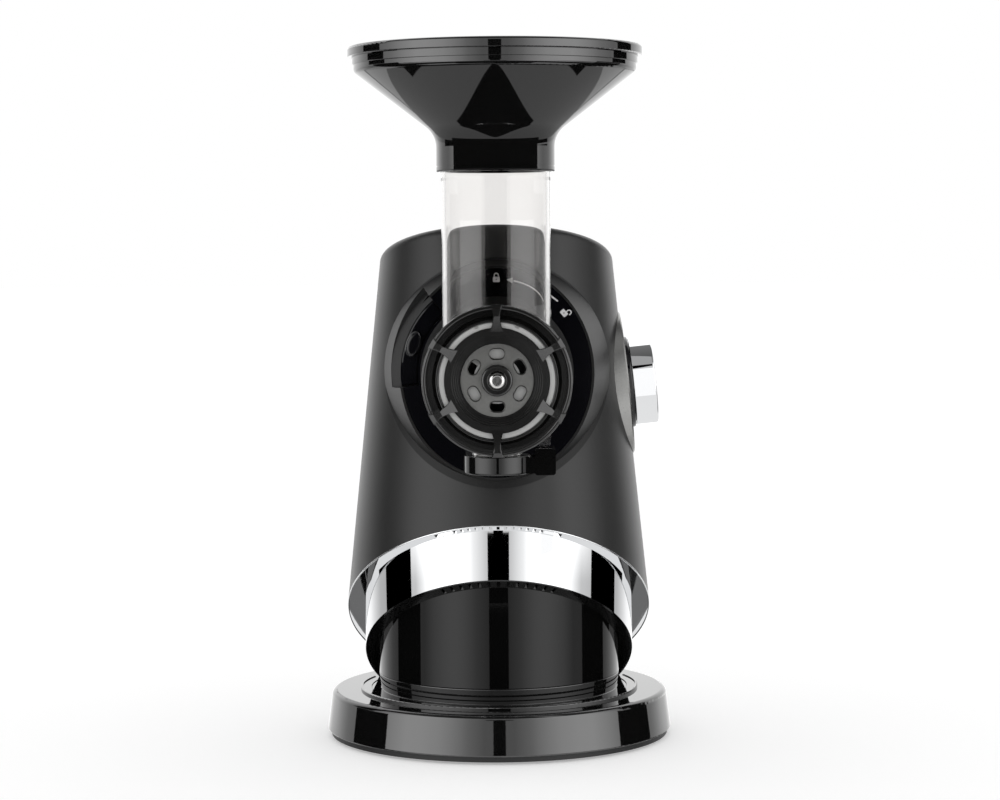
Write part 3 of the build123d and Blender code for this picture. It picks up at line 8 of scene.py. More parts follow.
import bpy
import bmesh
from mathutils import Matrix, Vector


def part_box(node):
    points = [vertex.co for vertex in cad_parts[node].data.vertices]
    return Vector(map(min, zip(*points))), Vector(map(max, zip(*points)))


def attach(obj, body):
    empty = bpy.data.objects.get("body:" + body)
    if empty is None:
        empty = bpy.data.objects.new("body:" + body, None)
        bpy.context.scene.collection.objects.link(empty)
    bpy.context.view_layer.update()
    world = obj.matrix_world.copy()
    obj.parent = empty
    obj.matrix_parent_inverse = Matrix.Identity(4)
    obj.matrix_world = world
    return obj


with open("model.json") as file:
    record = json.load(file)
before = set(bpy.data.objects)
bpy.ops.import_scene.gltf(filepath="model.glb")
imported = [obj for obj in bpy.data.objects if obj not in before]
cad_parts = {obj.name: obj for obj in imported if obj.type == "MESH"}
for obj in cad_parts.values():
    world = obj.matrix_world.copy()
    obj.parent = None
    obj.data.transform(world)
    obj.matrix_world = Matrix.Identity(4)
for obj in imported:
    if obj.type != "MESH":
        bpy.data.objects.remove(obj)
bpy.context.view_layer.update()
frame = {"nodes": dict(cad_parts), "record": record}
nodes = frame["nodes"]
scene = bpy.context.scene
MM = 0.001


def rgb(red, green, blue):
    return (red, green, blue, 1.0)


def grey(level):
    return rgb(level, level, level)


def shaded(color, share):
    """A colour with each channel scaled by share, at most 1."""
    return rgb(*(min(1.0, channel * share) for channel in color))


# ------------------------------------------------------------------ shader expressions
class Value:
    """A node socket that can be used in arithmetic."""

    def __init__(self, net, socket):
        self.net = net
        self.socket = socket

    def _math(self, operation, *terms):
        return self.net.add("ShaderNodeMath", {"operation": operation}, terms)

    def __add__(self, other):
        return self._math("ADD", self, other)

    def __sub__(self, other):
        return self._math("SUBTRACT", self, other)

    def __rsub__(self, other):
        return self._math("SUBTRACT", other, self)

    def __mul__(self, other):
        return self._math("MULTIPLY", self, other)

    def __truediv__(self, other):
        return self._math("DIVIDE", self, other)

    __radd__ = __add__
    __rmul__ = __mul__

    def __neg__(self):
        return self * -1.0

    def power(self, other):
        return self._math("POWER", self, other)

    def maximum(self, other):
        return self._math("MAXIMUM", self, other)

    def absolute(self):
        return self._math("ABSOLUTE", self)

    def arcsine(self):
        return self._math("ARCSINE", self)

    def arctangent(self, other):
        return self._math("ARCTAN2", self, other)

    def clamped(self):
        return self.net.add("ShaderNodeClamp", {}, {"Value": self})

    def rising(self, low, high):
        """0 below low, 1 above high, straight between."""
        return ((self - low) / (high - low)).clamped()

    def sibling(self, output):
        """Another output of the node that this value comes from."""
        return Value(self.net, self.socket.node.outputs[output])


def set_stops(ramp, stops):
    """Makes a colour ramp grey: stops are (place, level) pairs."""
    while len(ramp.elements) < len(stops):
        ramp.elements.new(0.5)
    for element, (place, level) in zip(ramp.elements, stops):
        element.position = place
        element.color = grey(level)


class Network:
    """A node tree that is filled by expressions."""

    def __init__(self, tree):
        self.tree = tree

    def add(self, kind, settings, inputs, output=0):
        """Adds a node, sets it up (a ramp by its stops) and feeds its sockets."""
        node = self.tree.nodes.new(kind)
        for key, value in settings.items():
            if key == "stops":
                set_stops(node.color_ramp, value)
            else:
                setattr(node, key, value)
        pairs = inputs.items() if isinstance(inputs, dict) else enumerate(inputs)
        for key, value in pairs:
            self.feed(node.inputs[key], value)
        return Value(self, node.outputs[output])

    def feed(self, socket, value):
        if isinstance(value, Value):
            self.tree.links.new(value.socket, socket)
        elif value is not None:
            socket.default_value = value

    def part(self, vector, letter):
        return self.add("ShaderNodeSeparateXYZ", {}, [vector], letter)

    def ramp(self, value, stops):
        return self.add("ShaderNodeValToRGB", {"stops": stops}, {"Fac": value}, "Color")

    def mix(self, factor, first, second):
        """Colour mix; 0, 6 and 7 are the node's factor and its two colours, 2 its colour output."""
        return self.add("ShaderNodeMix", {"data_type": "RGBA"}, {0: factor, 6: first, 7: second}, 2)


class Finish(Network):
    """A material with one Principled surface."""

    def __init__(self, name):
        self.material = bpy.data.materials.new(name)
        self.material.use_nodes = True
        super().__init__(self.material.node_tree)
        self.surface = self.tree.nodes["Principled BSDF"]
        self.places = self.add("ShaderNodeTexCoord", {}, {}, "Object")

    def set(self, **sockets):
        """Feeds the surface's sockets, each named with _ for a space."""
        for key, value in sockets.items():
            self.feed(self.surface.inputs[key.replace("_", " ")], value)

    def noise(self, scale, detail=3.0, stretch=None):
        place = self.places
        if stretch is not None:
            place = self.add("ShaderNodeMapping", {}, {"Vector": place, "Scale": stretch})
        sockets = {"Vector": place, "Scale": scale, "Detail": detail}
        return self.add("ShaderNodeTexNoise", {}, sockets)

    def bump(self, height, strength, distance):
        sockets = {"Height": height, "Strength": strength, "Distance": distance}
        self.set(Normal=self.add("ShaderNodeBump", {}, sockets))


# ------------------------------------------------------------------ finishes
# How much rougher each finish is where its own noise is highest.
LACQUER_HAZE = 0.03
PAINT_CLOUDING = 0.05
CHROME_SMEARING = 0.03
MOULD_CLOUDING = 0.1
METAL_GRAIN = 0.12
NYLON_MOTTLING = 0.15
AUGER_MOTTLING = 0.1
SOLDER_SPREAD = 0.3
INK_WEAR = 0.1

# Share of its plain colour that each finish shows where its own noise is highest, and for metal
# also where it is lowest.
LACQUER_LIFT = 1.4
PAINT_LIFT = (1.3, 1.28, 1.26)
MOULD_LIFT = 1.3
METAL_LIFT = 1.15
METAL_DIP = 0.85
NYLON_LIFT = 1.12

PLASTIC_IOR = 1.5
CHROME_DULL = rgb(0.86, 0.87, 0.885)
CHROME_BRIGHT = rgb(0.92, 0.925, 0.93)
CLEAR_DULL = rgb(0.955, 0.945, 0.935)
CLEAR_BRIGHT = rgb(0.975, 0.968, 0.96)
AUGER_DARK = (grey(0.03), grey(0.04))
AUGER_PALE = (rgb(0.66, 0.66, 0.65), rgb(0.8, 0.8, 0.79))
BOARD_GREEN = rgb(0.01, 0.12, 0.05)
SOLDER_GREEN = rgb(0.25, 0.4, 0.2)
INK_DULL = grey(0.9)
INK_BRIGHT = grey(1.0)

# The auger is pale in front of this Y.
NOSE_START = -156.5 * MM
NOSE_BLUR = 0.2 * MM


def lacquer(name, color=0.005, roughness=0.02, ior=PLASTIC_IOR, blue=1.0):
    """Polished black plastic with faint polishing haze; blue above 1 makes it cooler."""
    finish = Finish(name)
    haze = finish.noise(scale=30.0, detail=4.0)
    low = (color, color, color * blue)
    tint = finish.mix(haze, rgb(*low), shaded(low, LACQUER_LIFT))
    finish.set(Base_Color=tint, Roughness=haze * LACQUER_HAZE + roughness, IOR=ior)
    ripple = finish.noise(scale=900.0, detail=2.0)
    finish.bump(ripple, strength=0.01, distance=0.1 * MM)
    return finish.material


def satin_paint(name, color=0.011, roughness=0.34, ior=PLASTIC_IOR):
    """Fine powder coat with a soft sheen."""
    finish = Finish(name)
    cloud = finish.noise(scale=12.0)
    tint = finish.mix(cloud, grey(color), rgb(*(color * lift for lift in PAINT_LIFT)))
    finish.set(Base_Color=tint, Roughness=cloud * PAINT_CLOUDING + roughness, IOR=ior)
    powder = finish.noise(scale=2600.0, detail=2.0)
    finish.bump(powder, strength=0.12, distance=0.2 * MM)
    return finish.material


def chrome(name, roughness=0.015):
    """Bright chrome with light smears."""
    finish = Finish(name)
    smear = finish.noise(scale=18.0, detail=5.0)
    tint = finish.mix(smear, CHROME_DULL, CHROME_BRIGHT)
    finish.set(Base_Color=tint, Metallic=1.0, Roughness=smear * CHROME_SMEARING + roughness)
    return finish.material


def moulded(
    name, color, roughness=0.42, grain_scale=1400.0, grain_depth=0.08, ior=PLASTIC_IOR
):
    """Moulded plastic with a fine spark-eroded grain, finer the higher grain_scale is."""
    finish = Finish(name)
    cloud = finish.noise(scale=22.0, detail=4.0)
    tint = finish.mix(cloud, rgb(*color), shaded(color, MOULD_LIFT))
    finish.set(Base_Color=tint, Roughness=cloud * MOULD_CLOUDING + roughness, IOR=ior)
    grain = finish.noise(scale=grain_scale, detail=2.0)
    finish.bump(grain, strength=grain_depth, distance=0.3 * MM)
    return finish.material


def metal(name, color, roughness=0.3, stretch=(1.0, 1.0, 1.0), grain_depth=0.06):
    """Machined or blasted metal; stretch draws the grain out along one way."""
    finish = Finish(name)
    grain = finish.noise(scale=900.0, stretch=stretch)
    tint = finish.mix(grain, shaded(color, METAL_DIP), shaded(color, METAL_LIFT))
    finish.set(Base_Color=tint, Metallic=1.0, Roughness=grain * METAL_GRAIN + roughness)
    finish.bump(grain, strength=grain_depth, distance=0.2 * MM)
    return finish.material


def clear_plastic(name):
    """Clear drum plastic, faintly warm."""
    finish = Finish(name)
    haze = finish.noise(scale=60.0)
    tint = finish.mix(haze, CLEAR_DULL, CLEAR_BRIGHT)
    finish.set(Base_Color=tint, Roughness=0.0, IOR=PLASTIC_IOR, Transmission_Weight=1.0)
    return finish.material


def nylon(name, color, roughness=0.42):
    """Natural nylon, slightly mottled."""
    finish = Finish(name)
    mottled = finish.noise(scale=120.0, detail=4.0)
    tint = finish.mix(mottled, rgb(*color), shaded(color, NYLON_LIFT))
    finish.set(Base_Color=tint, Roughness=mottled * NYLON_MOTTLING + roughness)
    finish.bump(mottled, strength=0.1, distance=0.4 * MM)
    return finish.material


def auger_plastic(name, roughness=0.28):
    """Dark screw body whose nose, ahead of NOSE_START, is moulded in pale grey."""
    finish = Finish(name)
    pale = 1.0 - finish.part(finish.places, "Y").rising(NOSE_START - NOSE_BLUR, NOSE_START)
    mottled = finish.noise(scale=200.0)
    tint = finish.mix(pale, finish.mix(mottled, *AUGER_DARK), finish.mix(mottled, *AUGER_PALE))
    finish.set(
        Base_Color=tint, Roughness=mottled * AUGER_MOTTLING + roughness, IOR=PLASTIC_IOR
    )
    grain = finish.noise(scale=1200.0, detail=2.0)
    finish.bump(grain, strength=0.05, distance=0.2 * MM)
    return finish.material


def circuit_board(name, roughness=0.35, sharpness=3.0):
    """Green board with lighter patches where parts are soldered."""
    finish = Finish(name)
    sockets = {"Vector": finish.places, "Scale": 160.0}
    cells = finish.add("ShaderNodeTexVoronoi", {}, sockets, "Distance")
    tint = finish.mix(cells.power(sharpness).clamped(), BOARD_GREEN, SOLDER_GREEN)
    finish.set(Base_Color=tint, Roughness=cells * SOLDER_SPREAD + roughness)
    return finish.material


def printed_white(name, roughness=0.45):
    """Screen-printed ink, slightly uneven."""
    finish = Finish(name)
    worn = finish.noise(scale=900.0)
    tint = finish.mix(worn, INK_DULL, INK_BRIGHT)
    finish.set(Base_Color=tint, Roughness=worn * INK_WEAR + roughness)
    return finish.material


# Each slot's finish: how it is made, and its values where they aren't that finish's usual ones.
RECIPES = {
    "base_gloss": (lacquer, {"ior": 1.95}),
    "hidden_black": (moulded, {"color": (0.012, 0.012, 0.0125), "roughness": 0.5}),
    "gearbox_grey": (moulded, {"color": (0.12, 0.12, 0.125), "roughness": 0.5}),
    "foot_rubber": (
        moulded,
        {
            "color": (0.015, 0.015, 0.015), "roughness": 0.75,
            "grain_scale": 700.0, "grain_depth": 0.2,
        },
    ),
    "fastener_steel": (metal, {"color": (0.5, 0.5, 0.5), "roughness": 0.32}),
    "shaft_steel": (metal, {"color": (0.78, 0.77, 0.76), "roughness": 0.1, "grain_depth": 0.02}),
    "board_green": (circuit_board, {}),
    "band_chrome": (chrome, {}),
    "underplate_gloss": (lacquer, {"color": 0.006, "roughness": 0.04}),
    "body_satin": (satin_paint, {}),
    # The fairing's satin is a darker, duller copy of the body's satin: painted shade.
    "fairing_satin": (satin_paint, {"color": 0.009, "roughness": 0.42, "ior": 1.36}),
    "panel_gloss": (lacquer, {"color": 0.004, "roughness": 0.04, "blue": 1.35}),
    "seal_silicone": (moulded, {"color": (0.6, 0.6, 0.59), "roughness": 0.5}),
    "bearing_bronze": (metal, {"color": (0.45, 0.3, 0.14), "roughness": 0.35}),
    "gear_nylon": (nylon, {"color": (0.6, 0.57, 0.5)}),
    "motor_steel": (metal, {"color": (0.35, 0.36, 0.37), "roughness": 0.4}),
    "winding_copper": (
        metal,
        {
            "color": (0.5, 0.22, 0.1), "roughness": 0.35,
            "stretch": (1.0, 12.0, 1.0), "grain_depth": 0.3,
        },
    ),
    "fan_grey": (moulded, {"color": (0.06, 0.06, 0.065), "roughness": 0.5}),
    "auger_grey": (auger_plastic, {}),
    "drum_clear": (clear_plastic, {}),
    "strainer_grey": (moulded, {"color": (0.06, 0.06, 0.062), "roughness": 0.4}),
    "hopper_gloss": (lacquer, {"ior": 1.95}),
    "cap_satin": (
        moulded,
        {
            "color": (0.012, 0.0118, 0.0115), "roughness": 0.1,
            "grain_scale": 1600.0, "grain_depth": 0.02, "ior": 1.75,
        },
    ),
    "nozzle_steel": (metal, {"color": (0.22, 0.22, 0.213), "roughness": 0.4, "grain_depth": 0.25}),
    "flip_gloss": (lacquer, {"roughness": 0.03, "ior": 1.6}),
    "knob_chrome": (chrome, {"roughness": 0.02}),
}
FINISHES = {slot: make(slot, **values) for slot, (make, values) in RECIPES.items()}

# Nodes whose finish isn't their slot's usual one.
OWN_FINISHES = {
    # The column's gloss is a darker, less reflective copy of the base's gloss: painted shade.
    "column": lacquer("column_shaded_gloss", color=0.003, ior=1.42),
    "knob_bezel": metal("bezel_metal", (0.4, 0.4, 0.39), roughness=0.24, grain_depth=0.02),
}


def dress_cad_nodes():
    for row in frame["record"]["subparts"]:
        name = row["node"]
        node = nodes[name]
        node.data.materials.clear()
        node.data.materials.append(OWN_FINISHES.get(name, FINISHES[row["material_slot"]]))


dress_cad_nodes()


# ------------------------------------------------------------------ modelling steps
def deselect():
    bpy.ops.object.select_all(action="DESELECT")


def apply_place(piece):
    """Moves a piece's place, turn and scale into its mesh."""
    deselect()
    piece.select_set(True)
    bpy.context.view_layer.objects.active = piece
    bpy.ops.object.transform_apply(location=True, rotation=True, scale=True)


def edit(piece, element):
    """Opens a piece in edit mode, for its faces or its edges."""
    bpy.context.view_layer.objects.active = piece
    bpy.ops.object.mode_set(mode="EDIT")
    bpy.ops.mesh.select_mode(type=element)


def pick(piece, elements, wanted):
    """Picks the faces or edges of the open piece that wanted() says yes to, and no others."""
    bpy.ops.mesh.select_all(action="DESELECT")
    mesh = bmesh.from_edit_mesh(piece.data)
    for element in getattr(mesh, elements):
        element.select = wanted(element)
    bmesh.update_edit_mesh(piece.data)


def close_edit():
    bpy.ops.object.mode_set(mode="OBJECT")


def close_ends():
    """Fills the open ends of the open piece and turns all its faces outwards."""
    bpy.ops.mesh.select_all(action="SELECT")
    bpy.ops.mesh.fill_holes(sides=0)
    bpy.ops.mesh.normals_make_consistent(inside=False)


def delete_faces(piece, unwanted):
    """Deletes the faces whose centre unwanted() says yes to."""
    edit(piece, "FACE")
    pick(piece, "faces", lambda face: unwanted(face.calc_center_median()))
    bpy.ops.mesh.delete(type="FACE")
    close_edit()


def join(name, pieces):
    deselect()
    for piece in pieces:
        piece.select_set(True)
    bpy.context.view_layer.objects.active = pieces[0]
    bpy.ops.object.join()
    pieces[0].name = name
    return pieces[0]


# ------------------------------------------------------------------ signs printed on the panel
DRIVE_Z = 0.222
PANEL_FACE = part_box("socket_panel")[0].y
SIGN_PROUD = 0.05 * MM
SIGN_THICK = 0.1 * MM
PADLOCK_R = 55.2 * MM
PADLOCK_DEG = 90.0
OPEN_PADLOCK_R = 53.1 * MM
OPEN_PADLOCK_DEG = 41.4
ARROW_R = 53.9 * MM
ARROW_FROM_DEG = 49.1
ARROW_NECK_DEG = 79.3
ARROW_TIP_DEG = 83.4
ARROW_LINE = 0.9 * MM
ARROW_HEAD_WIDTH = 3.4 * MM
LOCK_WIDTH = 4.2 * MM
LOCK_HEIGHT = 3.1 * MM
LOCK_CORNER = 0.5 * MM
KEYHOLE_R = 0.32 * MM
SHACKLE_R = 1.25 * MM
SHACKLE_ROD = 0.6 * MM
SHACKLE_LEG = 0.8 * MM
SHACKLE_LIFT = 0.4 * MM
SHACKLE_FREE_LEG = 0.9 * MM
SHACKLE_SHIFT = 1.3 * SHACKLE_R

# Mesh steps of the signs' round parts, and the length of the keyhole's drill.
ROD_SIDES = 8
SHACKLE_STEPS = 32
ARROW_STEPS = 720
KEYHOLE_STEPS = 16
CORNER_STEPS = 3
DRILL_LENGTH = 4 * SIGN_THICK

INK = printed_white("sign_ink")


def torus_arc(radius, rod, steps, keep):
    """Part of a flattened ring about the origin of the sign's plane: x across, y up."""
    deselect()
    bpy.ops.mesh.primitive_torus_add(
        major_radius=radius, minor_radius=rod / 2, major_segments=steps, minor_segments=ROD_SIDES
    )
    arc = bpy.context.object
    arc.scale = (1.0, 1.0, SIGN_THICK / rod)
    apply_place(arc)
    delete_faces(arc, lambda centre: not keep(math.degrees(math.atan2(centre.y, centre.x))))
    return arc


def draw_legs(arc, legs):
    """Draws the two open ends of a half ring down; legs are the left and the right length."""

    def open_end(side):
        def on_end(edge):
            middle = (edge.verts[0].co + edge.verts[1].co) / 2
            return edge.is_boundary and middle.x * side > 0

        return on_end

    edit(arc, "EDGE")
    for side, length in zip((-1, 1), legs):
        pick(arc, "edges", open_end(side))
        bpy.ops.mesh.extrude_edges_move(TRANSFORM_OT_translate={"value": (0.0, -length, 0.0)})
    close_ends()
    close_edit()


def drill_keyhole(block):
    deselect()
    bpy.ops.mesh.primitive_cylinder_add(
        vertices=KEYHOLE_STEPS, radius=KEYHOLE_R, depth=DRILL_LENGTH,
        location=(0, -LOCK_HEIGHT / 2, 0),
    )
    drill = bpy.context.object
    hole = block.modifiers.new("keyhole", "BOOLEAN")
    hole.object = drill
    hole.operation = "DIFFERENCE"
    bpy.context.view_layer.objects.active = block
    bpy.ops.object.modifier_apply(modifier=hole.name)
    bpy.data.objects.remove(drill)


def lock_body():
    """Rounded block with a keyhole through it, its top edge on the sign's x axis."""

    def through(edge):
        return abs(edge.verts[0].co.z - edge.verts[1].co.z) > SIGN_THICK / 2

    deselect()
    bpy.ops.mesh.primitive_cube_add(size=1.0, location=(0, -LOCK_HEIGHT / 2, 0))
    block = bpy.context.object
    block.scale = (LOCK_WIDTH, LOCK_HEIGHT, SIGN_THICK)
    apply_place(block)
    edit(block, "EDGE")
    pick(block, "edges", through)
    bpy.ops.mesh.bevel(offset=LOCK_CORNER, segments=CORNER_STEPS)
    close_edit()
    drill_keyhole(block)
    return block


def padlock(name, legs, shift):
    """Padlock sign; shift moves the shackle sideways, and a short leg leaves it open."""
    shackle = torus_arc(SHACKLE_R, SHACKLE_ROD, SHACKLE_STEPS, lambda angle: angle > 0)
    draw_legs(shackle, legs)
    shackle.location = (shift, min(legs), 0)
    apply_place(shackle)
    return join(name, [lock_body(), shackle])


def arrow_head():
    length = ARROW_R * math.radians(ARROW_TIP_DEG - ARROW_NECK_DEG)
    middle = math.radians((ARROW_TIP_DEG + ARROW_NECK_DEG) / 2)
    deselect()
    bpy.ops.mesh.primitive_cone_add(
        vertices=4, radius1=ARROW_HEAD_WIDTH / 2, radius2=0, depth=length
    )
    head = bpy.context.object
    head.scale = (1.0, SIGN_THICK / ARROW_HEAD_WIDTH, 1.0)
    apply_place(head)
    turn = Matrix.Rotation(middle, 4, "Z") @ Matrix.Rotation(-math.pi / 2, 4, "X")
    place = (ARROW_R * math.cos(middle), ARROW_R * math.sin(middle), 0.0)
    head.matrix_world = Matrix.Translation(place) @ turn
    apply_place(head)
    return head


def arrow(name):
    """Curved arrow along the way the drum is turned to lock."""
    line = torus_arc(
        ARROW_R, ARROW_LINE, ARROW_STEPS, lambda angle: ARROW_FROM_DEG < angle < ARROW_NECK_DEG
    )
    edit(line, "FACE")
    close_ends()
    close_edit()
    return join(name, [line, arrow_head()])


def print_on_panel(sign, radius=0.0, angle=90.0):
    """Turns a sign so that its top points away from the drive axis, and lays it on the panel."""
    along = math.radians(angle)
    place = (radius * math.cos(along), radius * math.sin(along), SIGN_PROUD)
    in_plane = Matrix.Translation(place) @ Matrix.Rotation(along - math.pi / 2, 4, "Z")
    upright = Matrix.Translation((0, PANEL_FACE, DRIVE_Z)) @ Matrix.Rotation(math.pi / 2, 4, "X")
    sign.matrix_world = upright @ in_plane
    apply_place(sign)
    sign.data.materials.clear()
    sign.data.materials.append(INK)
    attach(sign, "housing")


def print_signs():
    closed_legs = (SHACKLE_LEG, SHACKLE_LEG)
    open_legs = (SHACKLE_LEG + SHACKLE_LIFT, SHACKLE_FREE_LEG)
    closed_lock = padlock("closed_padlock_sign", closed_legs, 0.0)
    print_on_panel(closed_lock, PADLOCK_R, PADLOCK_DEG)
    open_lock = padlock("open_padlock_sign", open_legs, SHACKLE_SHIFT)
    print_on_panel(open_lock, OPEN_PADLOCK_R, OPEN_PADLOCK_DEG)
    print_on_panel(arrow("turning_arrow_sign"))


print_signs()


# ------------------------------------------------------------------ trim along the shell's lip
LIP_SLANT = math.radians(33.2)
LIP_CENTRE = (0.0, 6.05 * MM, 74.34 * MM)
LIP_HALF_WIDTH = 91.17 * MM
LIP_HALF_LENGTH = 109.2 * MM
LIP_ROD_R = 0.45 * MM
# Radius of the round bead before it is drawn out to the lip's oval.
LIP_ROUND_R = 100.0 * MM
LIP_STEPS = 240
LIP_ROD_SIDES = 10


def lip_trim():
    """Thin bright bead in the corner between the body shell's slanted edge and the underplate."""
    deselect()
    bpy.ops.mesh.primitive_torus_add(
        major_radius=LIP_ROUND_R, minor_radius=LIP_ROD_R,
        major_segments=LIP_STEPS, minor_segments=LIP_ROD_SIDES,
    )
    trim = bpy.context.object
    trim.name = "lip_trim"
    trim.scale = (LIP_HALF_WIDTH / LIP_ROUND_R, LIP_HALF_LENGTH / LIP_ROUND_R, 1.0)
    apply_place(trim)
    trim.rotation_euler = (-LIP_SLANT, 0.0, 0.0)
    trim.location = LIP_CENTRE
    apply_place(trim)
    bpy.ops.object.shade_smooth()
    trim.data.materials.append(FINISHES["band_chrome"])
    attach(trim, "housing")


lip_trim()

# ------------------------------------------------------------------ stage
FLOOR_SIZE = 30.0
FLOOR_LEVEL = 0.92
FLOOR_GLOW = 0.35
MATT_ROUGHNESS = 0.9
CARD_REACH = 2.2
CARD_STEPS = 720
FEED_Y = (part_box("hopper")[0].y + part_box("hopper")[1].y) / 2

# Cards that show only in reflections: name, low and high edge, from and to azimuth in degrees.
# Azimuth 0 is to the front, where the camera is, and grows towards +X.
FAR_CARDS = (
    ("card_panel", -0.12, 0.36, -4.2, 4.2),
    ("card_column", -0.42, -0.205, -8.8, 8.8),
    ("card_left", -3.0, 0.36, -111.0, -79.0),
    ("card_low_right", -3.0, 0.135, 85.0, 117.0),
    ("card_right", 0.205, 0.36, 85.0, 117.0),
    ("card_high_left", 0.44, 3.0, -118.0, -95.0),
    ("card_high_right", 0.44, 3.0, 105.0, 127.0),
)
# A nearer card for the chrome band, round the base's axis, with its radius.
BASE_CARDS = (
    ("card_band", 0.05, 0.1, -8.1, 8.1, 0.35),
)
# Nearer cards round the feed tube's axis, with their radius.
TUBE_CARDS = (
    ("card_hopper", 0.375, 0.47, -4.7, 4.7, 0.38),
    ("card_tube", 0.25, 0.36, -28.3, 28.3, 0.15),
    ("card_collar", 0.31, 0.3595, -80.0, 80.0, 0.15),
)
# The card that also shows through the clear tube.
SEEN_THROUGH = "card_tube"

# Pale card beside the drum that the knob mirrors.
KNOB_CARD_LEVEL = 1.1
KNOB_CARD_AT = (0.0965, -0.15, 0.205)
KNOB_CARD_WIDTH = 0.037
KNOB_CARD_HEIGHT = 0.2

# Grey ring under the hopper, seen only in reflections, whose grey glow is painted shade, with a
# black wedge in front that is widest at the collar, and black again in front beyond WEDGE_BEYOND_R;
# the black parts are painted dark reflections.
UNDER_Z = 0.3335
UNDER_THICK = 0.0001
UNDER_STEPS = 96
UNDER_SHADE_LEVEL = 0.37
UNDER_INNER_R = 0.0336
UNDER_OUTER_R = 0.1
WEDGE_TIP = 0.068
WEDGE_FOOT = 0.0206
WEDGE_HALF_WIDTH = 0.0343
WEDGE_BEND = 0.7
WEDGE_SOFT = 0.0006
WEDGE_BEYOND_R = 0.076


def matt(name, level, glow=0.0):
    """Stage surface; glow is added for the camera alone, so that a pale one stays pale."""
    material = bpy.data.materials.new(name)
    material.use_nodes = True
    net = Network(material.node_tree)
    surface = net.tree.nodes["Principled BSDF"]
    surface.inputs["Base Color"].default_value = grey(level)
    surface.inputs["Roughness"].default_value = MATT_ROUGHNESS
    surface.inputs["Specular IOR Level"].default_value = 0.0
    if glow:
        seen = net.add("ShaderNodeLightPath", {}, {}, "Is Camera Ray")
        surface.inputs["Emission Color"].default_value = grey(1.0)
        net.feed(surface.inputs["Emission Strength"], seen * glow)
    return material


CARD_BLACK = matt("card_black", 0.0)


def glowing(name):
    """Surface that only shines."""
    finish = Finish(name)
    finish.set(Base_Color=grey(0.0), Roughness=1.0, Specular_IOR_Level=0.0, Emission_Strength=1.0)
    return finish


def add_floor():
    deselect()
    bpy.ops.mesh.primitive_plane_add(size=FLOOR_SIZE, location=(0, 0, 0))
    floor = bpy.context.object
    floor.name = "floor"
    floor.data.materials.append(matt("floor_white", FLOOR_LEVEL, FLOOR_GLOW))
    floor.visible_glossy = False


def reflections_only(card, through=False):
    """Leaves a card to reflections, and with through also to what is seen through clear plastic."""
    card.visible_camera = False
    card.visible_diffuse = False
    card.visible_shadow = False
    card.visible_transmission = through


def add_card(name, low, high, from_azimuth, to_azimuth, radius=CARD_REACH, centre_y=0.0):
    """Black upright card: part of a thin cylinder about an upright axis."""
    deselect()
    bpy.ops.mesh.primitive_cylinder_add(
        vertices=CARD_STEPS, radius=radius, depth=high - low, end_fill_type="NOTHING",
        location=(0, centre_y, (low + high) / 2),
    )
    card = bpy.context.object
    card.name = name
    apply_place(card)

    def outside(centre):
        azimuth = math.degrees(math.atan2(centre.x, centre_y - centre.y))
        return not from_azimuth <= azimuth <= to_azimuth

    delete_faces(card, outside)
    card.data.materials.append(CARD_BLACK)
    reflections_only(card, name == SEEN_THROUGH)


def add_knob_card():
    deselect()
    bpy.ops.mesh.primitive_plane_add(size=1.0, location=KNOB_CARD_AT, rotation=(math.pi / 2, 0, 0))
    card = bpy.context.object
    card.name = "card_knob"
    card.scale = (KNOB_CARD_WIDTH, KNOB_CARD_HEIGHT, 1.0)
    apply_place(card)
    pale = glowing("card_pale")
    pale.set(Emission_Color=grey(KNOB_CARD_LEVEL))
    card.data.materials.append(pale.material)
    reflections_only(card)


def under_ring_finish():
    """Grey glow of painted shade, with the black wedge and the black outer part, both in front of
    the feed tube, as painted dark reflections.
    """
    finish = glowing("under_hopper")
    across = finish.part(finish.places, "X").absolute()
    ahead = FEED_Y - finish.part(finish.places, "Y")
    radius = (across * across + ahead * ahead).power(0.5)
    length = ((WEDGE_TIP - ahead) / (WEDGE_TIP - WEDGE_FOOT)).clamped().power(WEDGE_BEND)
    inside = (length * WEDGE_HALF_WIDTH - across).rising(0.0, WEDGE_SOFT)
    beyond = radius.rising(WEDGE_BEYOND_R, WEDGE_BEYOND_R + WEDGE_SOFT)
    in_front = ahead.rising(WEDGE_FOOT - WEDGE_SOFT, WEDGE_FOOT)
    black = (inside + beyond).clamped() * in_front
    finish.set(Emission_Color=finish.mix(black, grey(UNDER_SHADE_LEVEL), grey(0.0)))
    return finish.material


def add_under_ring():
    """Nearly flat ring under the hopper that stands for the drum and the table there in their
    shade: painted shade seen only in reflections.
    """
    deselect()
    bpy.ops.mesh.primitive_cone_add(
        vertices=UNDER_STEPS, radius1=UNDER_OUTER_R, radius2=UNDER_INNER_R, depth=UNDER_THICK,
        end_fill_type="NOTHING", location=(0, FEED_Y, UNDER_Z),
    )
    ring = bpy.context.object
    ring.name = "card_under_hopper"
    apply_place(ring)
    ring.data.materials.append(under_ring_finish())
    reflections_only(ring)


add_floor()
for row in FAR_CARDS + BASE_CARDS:
    add_card(*row)
for row in TUBE_CARDS:
    add_card(*row, centre_y=FEED_Y)
add_knob_card()
add_under_ring()

# ------------------------------------------------------------------ light
DIFFUSE_LEVEL = 0.75
SOFTBOX_LEVEL = 2.1
# Level of the studio's wall against azimuth / 180, the same on both sides: dim to the front, where
# the camera is, with a soft box at each side.
WALL_STOPS = (
    (0.0, 0.29), (0.055, 0.29), (0.095, 0.40), (0.117, 0.46), (0.145, 0.60), (0.183, 0.75),
    (0.228, 0.9), (0.30, 1.0), (0.36, 1.0), (0.43, 0.78), (0.5, 0.5), (0.58, 0.32), (0.68, 0.34),
    (0.8, 0.6), (1.0, 0.68),
)
